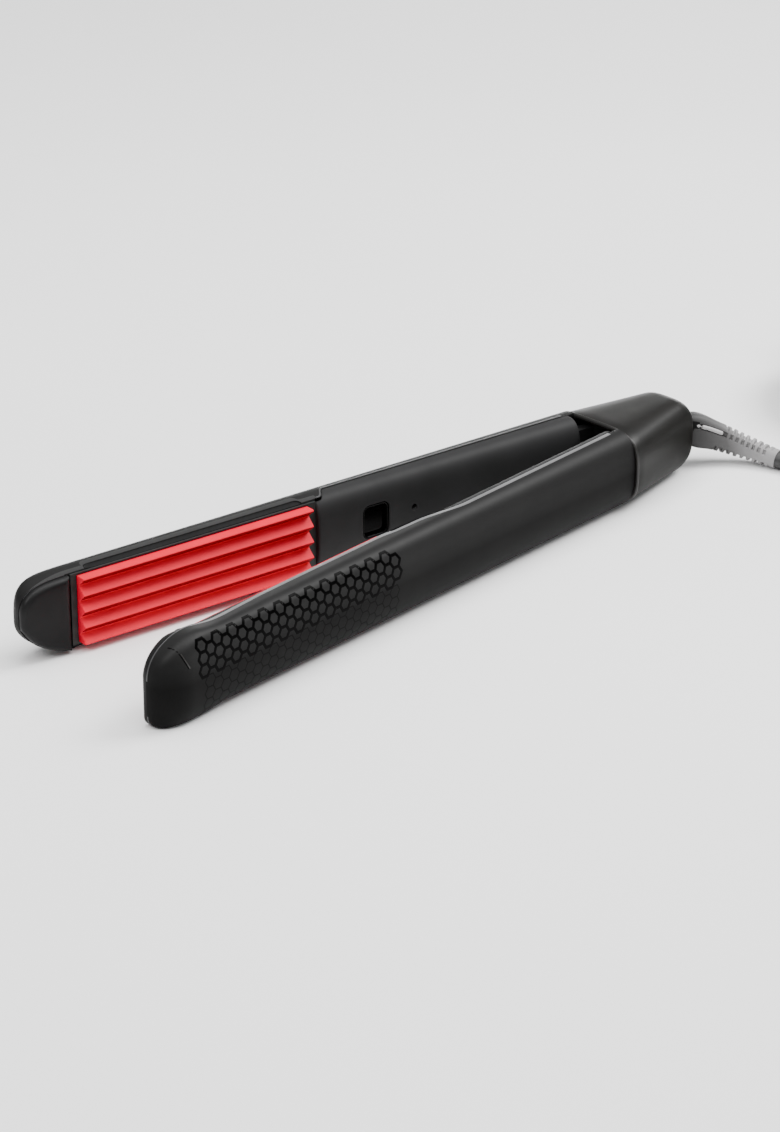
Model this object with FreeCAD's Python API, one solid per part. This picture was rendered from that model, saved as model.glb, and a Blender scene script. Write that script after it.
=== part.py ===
import FreeCAD, Part
import math
import os
from FreeCAD import Vector as V

os.makedirs("parts", exist_ok=True)

# ---------------------------------------------------------------- driving dimensions (mm)
# The crimper lies on its side, as on a table: the hinge axis is vertical (Z), X runs along the
# middle line between the two arms from the tips to the cord end, the rear arm is on +Y.
# Every arm piece is designed in the CLOSED position, with the hinge axis at x = 0, y = 0, z = 0
# (z = 0 is mid height), as (s, u, z): s = distance along the arm from the tip-side end of the
# crimping plate, u = distance from the middle plane between the arms.
SH = 227.8            # plate's tip-side end to hinge axis
OPEN = 6.14           # each arm's opening half angle at rest (deg)
CLOSE = 6.05          # closing travel of each arm (deg)
HX, HY, HZ = 110.87, 0.0, 14.32  # hinge axis in the part's frame; underside of the tips at z = 0

PLATE_L = 90.0        # crimping plate length
PLATE_HW = 11.5       # half width
PITCH = 5.57          # ridge pitch
RIDGE = 2.99          # ridge height
YH = 1.65             # valley plane to middle plane when closed
BASE_T = 1.3          # plate base under the valleys

TIP_S = -21.0         # outermost point of the tip
TIP_HW = 14.3         # half width of the paddle-shaped tip
TIP_BASE, TIP_E = -2.0, 3.0   # start and squareness of the tip's rounded outline
BOW_R = 9.0           # rounding of the back at the tip
W100, WK = 13.36, 0.0022      # shell half width at s = 100 and its growth per mm
B100, BK = 15.53, 0.0171      # shell back distance u at s = 100 and its growth per mm
U_WIDE = 8.28         # level of the greatest width = handle parting line
U_RIM = 3.5           # rim level along the plate and the tip
SE = 2.6              # superellipse exponent of the shell's back
WALL = 1.8            # shell wall
RIM_S0, RIM_S1 = 95.6, 100.4  # rear arm: where the rim steps back from U_RIM to U_WIDE
FRONT_S0, FRONT_S1 = 102.0, 132.0  # the same on the front arm, a long gentle step
COVER_S0, COVER_S1 = 94.9, 206.5   # inner handle cover
CROWN = 0.75          # crown of the inner cover, u
COVER_T = 1.8
END_X = -17.6         # shell end, in the open position
SHIELD_S0, SHIELD_S1 = 3.6, 88.4   # heat shield's exposed strip in the rim notch
NOTCH_U = 6.0

WIN_S, WIN_Z, WIN_L, WIN_H = 117.3, 0.4, 10.2, 9.4   # button window
LED_S, LED_Z, LED_R = 133.4, 0.4, 0.75

CAP_X0, CAP_X1 = -17.2, 24.5   # hinge housing: mouth and rear end, from the hinge axis
CAP_B0, CAP_BK = 20.62, 0.2642  # half thickness at the mouth and its taper per mm
CAP_C = 13.35         # half height
CAP_WALL = 1.8
CAP_RB, CAP_RC = 3.0, 8.5      # rounding of its rear end, at the sides and at top and bottom
SWIVEL_R, SWIVEL_BORE = 6.4, 5.4   # ring round the cord's boot
PIN_R = 2.0
BARREL_R = 4.4
FRAME_U0, FRAME_U1 = 4.0, 8.0  # hinge frame's plate
FRAME_HZ = 8.4        # its half width
FRAME_SCREW_S, FRAME_SCREW_Z = 193.0, 5.0

CORD_R = 3.2          # flexible cord, 6.4 mm
FLOOR = -14.32        # table surface, from mid height
COIL_X, COIL_Y = 133.0, -24.5   # coil centre, from the hinge axis
COIL_RM = 38.0        # coil radius at the middle of its turns
LAYERS, ACROSS, LAYER_H = 4, 3, 6.4

PIN_SPACING = 18.6    # mains pins
PLUG_PIN_R, PLUG_PIN_L = 2.0, 19.0


# ---------------------------------------------------------------- helpers
def sx(s):
    return s - SH


def smooth(t):
    t = max(0.0, min(1.0, t))
    return t * t * (3 - 2 * t)


def W(s):
    """Half width of the arm: slim along the plate, flared at the tip, rounded at its end."""
    w = W100 + WK * (s - 100.0)
    if s < 9.0:
        w += (TIP_HW - (W100 + WK * (-106.0))) * smooth((9.0 - s) / 15.0)
    if s < TIP_BASE:
        w *= (1 - ((TIP_BASE - s) / (TIP_BASE - TIP_S + 0.02)) ** TIP_E) ** (1 / TIP_E)
    return w


def B(s):
    """Distance of the arm's back from the middle plane, with the bow at the tip."""
    b = B100 + BK * (s - 100.0)
    bl = BOW_R * 1.25
    if s < TIP_S + bl:
        c = 1 - (s - TIP_S) / bl
        b = b - BOW_R + BOW_R * math.sqrt(max(0.0, 1 - c * c))
    return b


def UW(s):
    """Level of the greatest width."""
    full = B100 + BK * (s - 100.0)
    return U_RIM + (U_WIDE - U_RIM) * (B(s) - U_RIM) / (full - U_RIM)


def quarter(a, b, e, n):
    """Quarter of a superellipse from (a, 0) to (0, b), its points evenly spread along the curve."""
    k = 400
    fine = []
    for i in range(k + 1):
        t = math.pi / 2 * i / k
        fine.append((a * math.cos(t) ** (2 / e), b * math.sin(t) ** (2 / e)))
    length = [0.0]
    for p, q in zip(fine[:-1], fine[1:]):
        length.append(length[-1] + math.hypot(q[0] - p[0], q[1] - p[1]))
    out = []
    j = 0
    for i in range(n + 1):
        want = length[-1] * i / n
        while j < k - 1 and length[j + 1] < want:
            j += 1
        f = (want - length[j]) / (length[j + 1] - length[j])
        out.append((fine[j][0] + f * (fine[j + 1][0] - fine[j][0]), fine[j][1] + f * (fine[j + 1][1] - fine[j][1])))
    out[0] = (a, 0.0)
    out[-1] = (0.0, b)
    return out


def box(x0, x1, y0, y1, z0, z1):
    return Part.makeBox(x1 - x0, y1 - y0, z1 - z0, V(x0, y0, z0))


def cyl(r, h, base, d):
    return Part.makeCylinder(r, h, V(*base), V(*d))


def fuse(shapes):
    out = shapes[0]
    for s in shapes[1:]:
        out = out.fuse(s)
    return out.removeSplitter()


def arm_section(s, off=0.0, u_open=None):
    """Closed section of the arm at station s, its outline moved inwards by off."""
    uo = U_RIM if u_open is None else u_open
    ww = W(s) - off
    rim = ww - 0.42 * W(s) / W100
    uw = UW(s)
    q = quarter(ww, B(s) - off - uw, SE, 10)
    top = [(uw + u, z) for z, u in q]
    pts = top + [(u, -z) for u, z in reversed(top[:-1])]
    x = sx(s)
    spl = Part.BSplineCurve()
    spl.interpolate([V(x, u, z) for u, z in pts])
    a = V(x, uo, rim)
    b = V(x, uo, -rim)
    edges = [
        Part.LineSegment(a, V(x, pts[0][0], pts[0][1])).toShape(),
        spl.toShape(),
        Part.LineSegment(V(x, pts[-1][0], pts[-1][1]), b).toShape(),
        Part.LineSegment(b, a).toShape(),
    ]
    return Part.Wire(edges)


TIP_STATIONS = [-21.0, -20.85, -20.4, -19.5, -18.0, -16.0, -13.0, -10.0, -6.0, -2.0, 2.0, 6.0, 9.0]


def arm_loft(s0, s1, off=0.0, u_open=None):
    """Solid arm between two stations: a smooth tip and straight-sided remainder."""
    parts = []
    if s0 < 9.0:
        st = [s0] + [v for v in TIP_STATIONS if v > s0 + 0.05 and v < min(s1, 9.0) - 0.05] + [min(s1, 9.0)]
        parts.append(Part.makeLoft([arm_section(v, off, u_open) for v in st], True, False))
    if s1 > 9.0:
        parts.append(Part.makeLoft([arm_section(max(s0, 9.0), off, u_open), arm_section(s1, off, u_open)], True, True))
    return parts[0] if len(parts) == 1 else parts[0].fuse(parts[1])


def prism_su(pts, z0, z1):
    """Prism from a polygon in (s, u), between two heights."""
    vs = [V(sx(s), u, z0) for s, u in pts]
    return Part.Face(Part.makePolygon(vs + [vs[0]])).extrude(V(0, 0, z1 - z0))


def rounded_box(x0, x1, y0, y1, z0, z1, r, axis="y"):
    b = box(x0, x1, y0, y1, z0, z1)
    es = []
    for e in b.Edges:
        d = e.tangentAt(e.FirstParameter)
        c = {"x": abs(d.x), "y": abs(d.y), "z": abs(d.z)}[axis]
        if c > 0.99:
            es.append(e)
    return b.makeFillet(r, es)


def solid(sh):
    ss = sh.Solids
    if len(ss) == 1:
        return ss[0]
    return Part.makeCompound(ss)


def capsec(x, off, less_b=0.0, less_c=0.0):
    b = CAP_B0 - CAP_BK * (x - CAP_X0) - off - less_b
    q = quarter(b, CAP_C - off - less_c, 4.0, 12)
    full = q + [(-y, z) for y, z in reversed(q[:-1])]
    full = full + [(y, -z) for y, z in reversed(full[1:-1])]
    spl = Part.BSplineCurve()
    spl.interpolate([V(x, y, z) for y, z in full], True)
    return Part.Wire([spl.toShape()])


def cap_form(x0, end, off, side):
    """Tapered form of the housing, its far end rounded; side is the rounding at its sides."""
    n = 9
    xc = CAP_X1 - CAP_RC
    secs = []
    for i in range(n + 1):
        a = math.pi / 2 * i / n
        x = xc + (end - xc) * math.sin(a)
        d = max(0.0, (x - (end - side)) / side)
        secs.append(capsec(x, off, side * (1 - math.sqrt(max(0.0, 1 - d * d))), (CAP_RC - off) * (1 - math.cos(a))))
    front = Part.makeLoft([capsec(x0, off), secs[0]], True, True)
    return front.fuse(Part.makeLoft(secs, True, False))


def tube(points, r, label):
    """Round tube along straight runs joined by tangent arcs; each arc uses 0.45 of the shorter run."""
    P = [V(*p) for p in points]
    edges = []
    start = P[0]
    length = 0.0
    radii = []
    for i in range(1, len(P) - 1):
        a = P[i] - P[i - 1]
        b = P[i + 1] - P[i]
        la, lb = a.Length, b.Length
        a.normalize()
        b.normalize()
        ang = a.getAngle(b)
        t = 0.45 * min(la, lb)
        rad = t / math.tan(ang / 2)
        radii.append(rad)
        p0 = P[i] - a * t
        p1 = P[i] + b * t
        bis = (b - a)
        bis.normalize()
        mid = P[i] + bis * (rad / math.cos(ang / 2) - rad)
        edges.append(Part.LineSegment(start, p0).toShape())
        edges.append(Part.Arc(p0, mid, p1).toShape())
        length += (p0 - start).Length + rad * ang
        start = p1
    edges.append(Part.LineSegment(start, P[-1]).toShape())
    length += (P[-1] - start).Length
    path = Part.Wire(edges)
    d = P[1] - P[0]
    d.normalize()
    prof = Part.Wire([Part.Circle(P[0], d, r).toShape()])
    sh = path.makePipeShell([prof], True, False)
    print(label, "length %.1f" % length, "radii", [round(x, 1) for x in radii],
          "volume ratio %.4f" % (sh.Volume / (math.pi * r * r * length)), "valid", sh.isValid())
    return sh


# ---------------------------------------------------------------- arm pieces (closed position)
def rim_cutter(r0, r1, depth_u=U_WIDE):
    """Region above the handle's parting line, with the S-shaped step beside the plate."""
    n = 8
    pts = [(r0, -6.0)]
    for i in range(n + 1):
        t = i / n
        k = t * t * (3 - 2 * t)
        pts.append((r0 + (r1 - r0) * t, U_RIM - 0.02 + (depth_u - U_RIM + 0.02) * k))
    pts += [(260.0, depth_u), (260.0, -6.0)]
    return prism_su(pts, -20, 20)


def outer_shell(r0, r1):
    body = arm_loft(TIP_S, 214.0)
    void = arm_loft(-15.0, 216.0, WALL, -3.0)
    # the hollow starts behind a solid nose
    body = body.cut(void)
    body = body.cut(rim_cutter(r0, r1))
    # rim notch that shows the heat shield, with rounded ends
    for sg in (1, -1):
        n = rounded_box(sx(SHIELD_S0), sx(SHIELD_S1), 1.0, NOTCH_U, 9.0, 16.0, 2.0, "z")
        if sg < 0:
            n = n.mirror(V(0, 0, 0), V(0, 0, 1))
        body = body.cut(n)
    # bosses for the hinge frame and the plate carrier
    adds = []
    for z in (FRAME_SCREW_Z, -FRAME_SCREW_Z):
        adds.append(cyl(2.2, 9.0, (sx(FRAME_SCREW_S), FRAME_U1, z), (0, 1, 0)).cut(
            cyl(1.0, 5.0, (sx(FRAME_SCREW_S), FRAME_U1 - 0.1, z), (0, 1, 0))))
    for s in (14.0, 76.0):
        adds.append(cyl(2.6, 5.0, (sx(s), 9.6, 0), (0, 1, 0)).cut(cyl(1.0, 3.2, (sx(s), 9.5, 0), (0, 1, 0))))
    shell = body
    env = arm_loft(-10.0, 214.0, 0.4)
    for a in adds:
        shell = shell.fuse(a.common(env))
    return solid(shell.removeSplitter())


def heat_shield():
    strip = rounded_box(sx(SHIELD_S0 + 0.15), sx(SHIELD_S1 - 0.15), 1.0, NOTCH_U - 0.12, -20, 20, 2.0, "z")
    a = arm_loft(SHIELD_S0 + 0.15, SHIELD_S1 - 0.15, 0.35).common(strip).common(box(-400, 400, U_RIM, 20, -20, 20))
    b = arm_loft(SHIELD_S0 + 0.15, SHIELD_S1 - 0.15, WALL + 0.22)
    sh = a.fuse(b).cut(arm_loft(SHIELD_S0 - 1, SHIELD_S1 + 1, WALL + 0.75, -3.0))
    for s in (14.0, 76.0):
        sh = sh.cut(cyl(2.9, 12.0, (sx(s), 8.0, 0), (0, 1, 0)))
    return solid(sh.removeSplitter())


def tip_cover():
    """Crowned cover on the inner side of the tip."""
    n = 14
    s0, s1 = TIP_S + 0.15, -3.1
    full = []
    for i in range(n + 1):
        t = i / n
        v = s1 + (s0 - s1) * math.sin(math.pi / 2 * t)
        full.append((v, W(v) - 0.62))
    right = [(v, z) for v, z in full if z > 2.0]
    pts = right + [(s0, 0.0)] + [(v, -z) for v, z in reversed(right)]
    u0, u1 = 0.9, U_RIM - 0.03
    spl = Part.BSplineCurve()
    spl.interpolate([V(sx(v), u0, z) for v, z in pts])
    a, b = pts[0], pts[-1]
    wire = Part.Wire([spl.toShape(), Part.LineSegment(V(sx(b[0]), u0, b[1]), V(sx(a[0]), u0, a[1])).toShape()])
    p = Part.Face(wire).extrude(V(0, u1 - u0, 0))
    edges = [e for e in p.Edges if abs(e.BoundBox.YMin - u0) < 1e-3 and abs(e.BoundBox.YMax - u0) < 1e-3]
    for r in (1.8, 1.5, 1.2, 0.8):
        try:
            q = p.makeFillet(r, edges)
            if q.isValid() and len(q.Solids) == 1:
                p = q
                break
        except Exception:
            continue
    # locating stub that drops into the shell behind the nose
    stub = box(sx(-13.5), sx(-5.0), U_RIM - 0.1, 7.0, -6.0, 6.0)
    return solid(p.fuse(stub).removeSplitter())


def cover_section(s, off=0.0):
    w = W(s) - 0.15 - off
    q = quarter(w, U_WIDE - CROWN - off, 2.6, 10)
    top = [(U_WIDE - u, z) for z, u in q]
    pts = top + [(u, -z) for u, z in reversed(top[:-1])]
    x = sx(s)
    spl = Part.BSplineCurve()
    spl.interpolate([V(x, u, z) for u, z in pts])
    p0, p1 = V(x, pts[0][0], pts[0][1]), V(x, pts[-1][0], pts[-1][1])
    edges = [spl.toShape()]
    if off == 0:
        edges.append(Part.LineSegment(p1, p0).toShape())
    else:
        q0, q1 = V(x, U_WIDE + 3.0, pts[0][1]), V(x, U_WIDE + 3.0, pts[-1][1])
        edges += [Part.LineSegment(p1, q1).toShape(), Part.LineSegment(q1, q0).toShape(), Part.LineSegment(q0, p0).toShape()]
    return Part.Wire(edges)


def inner_cover(window, r0, r1):
    body = Part.makeLoft([cover_section(COVER_S0), cover_section(COVER_S1)], True, True)
    void = Part.makeLoft([cover_section(COVER_S0 + 2.0, COVER_T), cover_section(COVER_S1 + 1, COVER_T)], True, True)
    body = body.cut(void)
    # follow the S-shaped step of the shell's rim, with a hairline gap
    n = 8
    pts = [(COVER_S0 - 3.0, U_RIM - 0.05), (r0, U_RIM - 0.05)]
    for i in range(1, n + 1):
        t = i / n
        k = t * t * (3 - 2 * t)
        pts.append((r0 + (r1 - r0) * t + 0.05, U_RIM - 0.05 + (U_WIDE - 0.02 - U_RIM + 0.05) * k))
    pts += [(r1 + 0.05, 14.0), (COVER_S0 - 3.0, 14.0)]
    body = body.cut(prism_su(pts, -20, 20))
    if window:
        w = rounded_box(sx(WIN_S - WIN_L / 2), sx(WIN_S + WIN_L / 2), -3, 12,
                        WIN_Z - WIN_H / 2, WIN_Z + WIN_H / 2, 1.9)
        body = body.cut(w)
        body = body.cut(cyl(LED_R + 0.03, 8.0, (sx(LED_S), -3, LED_Z), (0, 1, 0)))
    return solid(body.removeSplitter())


def plate_carrier():
    s0, s1 = -2.4, 93.4
    flange = box(sx(s0), sx(s1), 2.63, U_RIM - 0.05, -12.3, 12.3)
    pocket = box(sx(-0.25), sx(PLATE_L + 0.25), 2.0, 2.98, -(PLATE_HW + 0.2), PLATE_HW + 0.2)
    skirt = box(sx(1.0), sx(89.0), U_RIM - 0.1, 9.6, -10.3, 10.3)
    body = flange.fuse(skirt)
    body = body.cut(pocket)
    body = body.cut(box(sx(2.5), sx(87.5), 2.0, 8.4, -9.2, 9.2))
    # keep it inside the shell's hollow
    body = body.common(arm_loft(-10.0, 100.0, WALL + 0.95, -3.0).fuse(box(sx(-10), sx(100), -3, U_RIM - 0.05, -20, 20)))
    for s in (14.0, 76.0):
        body = body.cut(cyl(1.1, 6.0, (sx(s), 7.0, 0), (0, 1, 0)))
    body = body.cut(box(sx(30), sx(60), 8.0, 10.0, -6, 6))
    # way out for the heater's leads
    body = body.cut(box(sx(86.0), sx(91.0), 3.47, 6.4, -6, 6))
    return solid(body.removeSplitter())


def crimp_plate(offset):
    """Ridged plate; offset 0 puts a ridge on the middle line, 0.5 puts a valley there."""
    u_base = YH + BASE_T
    n = 3
    pts = []
    z = -PLATE_HW
    step = PITCH / 2
    # breakpoints of the triangular wave
    zs = [-PLATE_HW]
    k = -10
    while k <= 10:
        zz = k * step
        if -PLATE_HW < zz < PLATE_HW:
            zs.append(zz)
        k += 1
    zs.append(PLATE_HW)
    small = 0.22   # ridge and valley land, half width

    def wave(zv):
        ph = abs(((zv / PITCH - offset) % 1.0))
        ph = min(ph, 1 - ph) * 2      # 0 on a ridge, 1 in a valley
        return 1 - ph

    prof = []
    for i, zv in enumerate(zs):
        if i in (0, len(zs) - 1):
            prof.append((YH - RIDGE * wave(zv), zv))
        else:
            hgt = wave(zv)
            for d in (-small, small):
                prof.append((YH - RIDGE * wave(zv + d), zv + d))
    poly = prof + [(u_base, PLATE_HW), (u_base, -PLATE_HW)]
    x0, x1 = sx(0.0), sx(PLATE_L)
    vs = [V(x0, u, zv) for u, zv in poly]
    body = Part.Face(Part.makePolygon(vs + [vs[0]])).extrude(V(x1 - x0, 0, 0))
    for zc in (7.4, -7.4):
        body = body.fuse(box(sx(3.2), sx(86.8), u_base - 0.05, 6.4, zc - 0.8, zc + 0.8))
    return solid(body.removeSplitter())


def heater():
    u0 = YH + BASE_T + 0.02
    body = box(sx(6), sx(82), u0, u0 + 1.9, -5.9, 5.9)
    return solid(body)


def heater_clip():
    u0 = YH + BASE_T + 0.02 + 1.9 + 0.02
    parts = [box(sx(8), sx(80), u0, u0 + 0.5, -6.4, 6.4)]
    for s in (20, 44, 68):
        parts.append(box(sx(s - 3), sx(s + 3), u0 + 0.4, u0 + 1.5, -6.4, 6.4).cut(
            box(sx(s - 2.4), sx(s + 2.4), u0 + 0.5, u0 + 1.0, -7, 7)))
    return solid(fuse(parts))


def hinge_frame(ranges):
    """Bracket screwed inside the arm, with two knuckles on the hinge pin."""
    parts = [box(-40.0, -6.6, FRAME_U0, FRAME_U1, -FRAME_HZ, FRAME_HZ)]
    for z0, z1 in ranges:
        parts.append(cyl(BARREL_R, z1 - z0, (0, 0, z0), (0, 0, 1)))
        web = [(-13.0, 4.2), (-6.0, 0.6), (0.0, 0.6), (0.0, 4.4), (-4.0, 6.0), (-6.6, 8.0), (-13.0, 8.0)]
        parts.append(prism_su([(SH + x, u) for x, u in web], z0, z1))
    body = fuse(parts)
    body = body.cut(cyl(PIN_R + 0.05, 40, (0, 0, -20), (0, 0, 1)))
    for z in (FRAME_SCREW_Z, -FRAME_SCREW_Z):
        body = body.cut(cyl(1.15, 10, (sx(FRAME_SCREW_S), 0, z), (0, 1, 0)))
    body = body.cut(box(-31.0, -23.0, 0, 9, -3.5, 3.5))
    return solid(body.removeSplitter())


def screws(items, hr=1.7, ht=0.85):
    """Pan-head screws: (s, u of the head's underside, z, length)."""
    out = []
    for s, u, z, ln in items:
        head = cyl(hr, ht, (sx(s), u - ht, z), (0, 1, 0))
        head = head.cut(box(sx(s) - 1.2, sx(s) + 1.2, u - ht - 0.1, u - ht + 0.4, z - 0.22, z + 0.22))
        head = head.cut(box(sx(s) - 0.22, sx(s) + 0.22, u - ht - 0.1, u - ht + 0.4, z - 1.2, z + 1.2))
        out.append(head.fuse(cyl(0.98, ln, (sx(s), u - 0.05, z), (0, 1, 0))).removeSplitter())
    return Part.makeCompound([o.Solids[0] for o in out])


def run_wire(pts, r):
    """Small insulated lead along straight runs with ball joints at the bends."""
    parts = []
    P = [V(sx(p[0]), p[1], p[2]) for p in pts]
    for a, b in zip(P[:-1], P[1:]):
        d = b - a
        parts.append(Part.makeCylinder(r, d.Length, a, d))
    for p in P[1:-1]:
        parts.append(Part.makeSphere(r, p))
    return solid(fuse(parts))


def control_board():
    b = box(sx(108.0), sx(176.0), 7.7, 9.1, -8.6, 8.6)
    return solid(b)


def board_components():
    items = [
        box(sx(150.0), sx(160.0), 5.0, 7.68, -6.5, 2.5),
        cyl(2.0, 9.0, (sx(163.0), 5.6, 4.0), (1, 0, 0)),
        box(sx(140.0), sx(146.0), 6.2, 7.68, -5.0, 5.0),
        box(sx(166.0), sx(172.0), 9.12, 12.0, -5.0, 5.0),
    ]
    return Part.makeCompound([i.Solids[0] for i in items])


def button_bezel():
    e = 0.06
    outer = rounded_box(sx(WIN_S - WIN_L / 2 + e), sx(WIN_S + WIN_L / 2 - e), 0.95, 5.2,
                        WIN_Z - WIN_H / 2 + e, WIN_Z + WIN_H / 2 - e, 1.85)
    flange = rounded_box(sx(WIN_S - WIN_L / 2 - 1.0), sx(WIN_S + WIN_L / 2 + 1.0), 4.2, 5.2,
                         WIN_Z - WIN_H / 2 - 1.0, WIN_Z + WIN_H / 2 + 1.0, 2.2)
    inner = rounded_box(sx(WIN_S - WIN_L / 2 + 0.9), sx(WIN_S + WIN_L / 2 - 0.9), -2, 8,
                        WIN_Z - WIN_H / 2 + 0.9, WIN_Z + WIN_H / 2 - 0.9, 1.3)
    body = outer.fuse(flange).cut(inner)
    # follow the cover's crown so that the bezel sits just under its surface
    crown = Part.makeLoft([cover_section(COVER_S0), cover_section(COVER_S1)], True, True)
    return solid(body.common(crown).removeSplitter())


BTN_TOP = 2.6


def power_button():
    c = 0.3
    hx = WIN_L / 2 - 0.9 - c
    hz = WIN_H / 2 - 0.9 - c
    cap = rounded_box(sx(WIN_S - hx), sx(WIN_S + hx), BTN_TOP, 5.4, WIN_Z - hz, WIN_Z + hz, 1.0)
    top = [e for e in cap.Edges if abs(e.BoundBox.YMin - BTN_TOP) < 1e-3 and abs(e.BoundBox.YMax - BTN_TOP) < 1e-3]
    try:
        cap2 = cap.makeFillet(0.5, top)
        if cap2.isValid():
            cap = cap2
    except Exception:
        pass
    stem = cyl(1.2, 0.7, (sx(WIN_S), 5.35, WIN_Z), (0, 1, 0))
    return solid(cap.fuse(stem).removeSplitter())


def tact_switch():
    body = box(sx(WIN_S - 3), sx(WIN_S + 3), 7.0, 7.68, WIN_Z - 3, WIN_Z + 3)
    return solid(body)


def led_lens():
    return solid(cyl(LED_R, 6.8, (sx(LED_S), 0.85, LED_Z), (0, 1, 0)))


OUT = {}
REAR_KNUCKLES = ((5.15, 8.4), (-4.85, -1.5))
FRONT_KNUCKLES = ((1.5, 4.85), (-8.4, -5.15))

shell = outer_shell(RIM_S0, RIM_S1)
shield = heat_shield()
tipc = tip_cover()
carrier = plate_carrier()
hot = heater()
clip = heater_clip()

rear = {
    "rear_outer_shell": shell,
    "rear_heat_shield": shield,
    "rear_tip_cover": tipc,
    "rear_inner_cover": inner_cover(True, RIM_S0, RIM_S1),
    "rear_plate_carrier": carrier,
    "rear_crimping_plate": crimp_plate(0.0),
    "rear_heater": hot,
    "rear_heater_clip": clip,
    "rear_thermistor": solid(cyl(0.9, 4.0, (sx(83.0), 3.95, 3.0), (1, 0, 0))),
    "rear_hinge_frame": hinge_frame(REAR_KNUCKLES),
    "rear_frame_screws": screws([(FRAME_SCREW_S, FRAME_U0 - 0.01, z, 8.2) for z in (FRAME_SCREW_Z, -FRAME_SCREW_Z)]),
    "rear_carrier_screws": screws([(14.0, 8.38, 0.0, 3.6), (76.0, 8.38, 0.0, 4.2)]),
    "rear_heater_leads": Part.makeCompound([
        run_wire([(82.1, 4.2, z0), (91.5, 4.6, z0), (101.0, 8.3, z0 * 1.2), (107.9, 8.3, z0 * 1.2)], 0.8)
        for z0 in (-3.6, -0.6)]),
    "control_board": control_board(),
    "board_components": board_components(),
    "button_bezel": button_bezel(),
    "tact_switch": tact_switch(),
    "led_lens": led_lens(),
}
button = power_button()

fshell = outer_shell(FRONT_S0, FRONT_S1)
front = {
    "front_outer_shell": fshell,
    "front_heat_shield": shield.copy(),
    "front_tip_cover": tipc.copy(),
    "front_inner_cover": inner_cover(False, FRONT_S0, FRONT_S1),
    "front_plate_carrier": carrier.copy(),
    "front_crimping_plate": crimp_plate(0.5),
    "front_heater": hot.copy(),
    "front_heater_clip": clip.copy(),
    "front_thermal_fuse": solid(cyl(1.3, 10.0, (sx(31.0), 7.05, 0.0), (1, 0, 0))),
    "front_hinge_frame": hinge_frame(FRONT_KNUCKLES),
    "front_frame_screws": screws([(FRAME_SCREW_S, FRAME_U0 - 0.01, z, 8.2) for z in (FRAME_SCREW_Z, -FRAME_SCREW_Z)]),
    "front_carrier_screws": screws([(14.0, 8.38, 0.0, 3.6), (76.0, 8.38, 0.0, 4.2)]),
    "front_heater_leads": Part.makeCompound([
        run_wire([(82.1, 4.2, z0), (91.5, 4.6, z0), (102.0, 9.6, z0), (204.0, 9.6, z0)], 0.8)
        for z0 in (-1.6, 1.6)]),
}

Z = V(0, 0, 1)
O = V(0, 0, 0)


def trim_end(sh):
    """The arm's end is cut square to the middle line, in the open position."""
    return sh.common(box(-400, END_X, -60, 60, -40, 40))


for name, sh in rear.items():
    r = sh.copy()
    r.rotate(O, Z, -OPEN)
    if name == "rear_outer_shell":
        r = solid(trim_end(r))
    OUT[name] = r
b = button.copy()
b.rotate(O, Z, -OPEN)
OUT["power_button"] = b
for name, sh in front.items():
    r = sh.mirror(O, V(0, 1, 0))
    r.rotate(O, Z, OPEN)
    if name == "front_outer_shell":
        r = solid(trim_end(r))
    OUT[name] = r


# ---------------------------------------------------------------- hinge housing and what it holds
def hinge_housing():
    body = cap_form(CAP_X0, CAP_X1, 0.0, CAP_RB)
    body = body.cut(cap_form(CAP_X0 - 1.0, CAP_X1 - 3.0, CAP_WALL, CAP_RB - CAP_WALL))
    inner = CAP_C - CAP_WALL
    adds = []
    for z0, z1 in ((9.1, inner + 0.6), (-inner - 0.6, -9.1)):
        adds.append(cyl(4.3, z1 - z0, (0, 0, z0), (0, 0, 1)))
    # opening stops for the two hinge frames
    for sg in (1, -1):
        y0, y1 = (9.95, 17.9) if sg > 0 else (-17.9, -9.95)
        adds.append(box(-14.0, -10.0, y0, y1, -3.0, 3.0))
    for a in adds:
        body = body.fuse(a)
    body = body.cut(cyl(PIN_R + 0.02, 30, (0, 0, -14), (0, 0, 1)).common(box(-5, 5, -5, 5, -14, 12.0)))
    body = body.cut(cyl(3.5, 2.0, (0, 0, -13.9), (0, 0, 1)))
    body = body.cut(cyl(SWIVEL_R + 0.08, 10, (CAP_X1 - 5, 0, 0), (1, 0, 0)))
    body = body.cut(cyl(7.75, 3.5, (CAP_X1 - 6.5, 0, 0), (1, 0, 0)))   # room for the ring's flange
    return solid(body.removeSplitter())


OUT["hinge_housing"] = hinge_housing()
pin = cyl(PIN_R, 23.7, (0, 0, -11.9), (0, 0, 1)).fuse(cyl(3.4, 1.2, (0, 0, -13.1), (0, 0, 1)))
pin = pin.cut(box(-2.2, 2.2, -0.35, 0.35, -13.2, -12.5))
OUT["hinge_pin"] = solid(pin.removeSplitter())
OUT["thrust_washers"] = Part.makeCompound([
    cyl(4.2, 0.4, (0, 0, z0), (0, 0, 1)).cut(cyl(PIN_R + 0.06, 2, (0, 0, z0 - 0.5), (0, 0, 1))).Solids[0]
    for z0 in (8.7, -9.1)])


def opening_spring():
    rm, rw = 3.3, 0.45
    parts = [Part.makeTorus(rm, rw, V(0, 0, z0), Z) for z0 in (0.4, -0.4)]
    parts.append(cyl(rw, 17.0, (0, rm, 0.4), (-1, 0, 0)))
    parts.append(cyl(rw, 17.0, (0, -rm, -0.4), (-1, 0, 0)))
    return solid(fuse(parts))


OUT["opening_spring"] = opening_spring()

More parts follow.
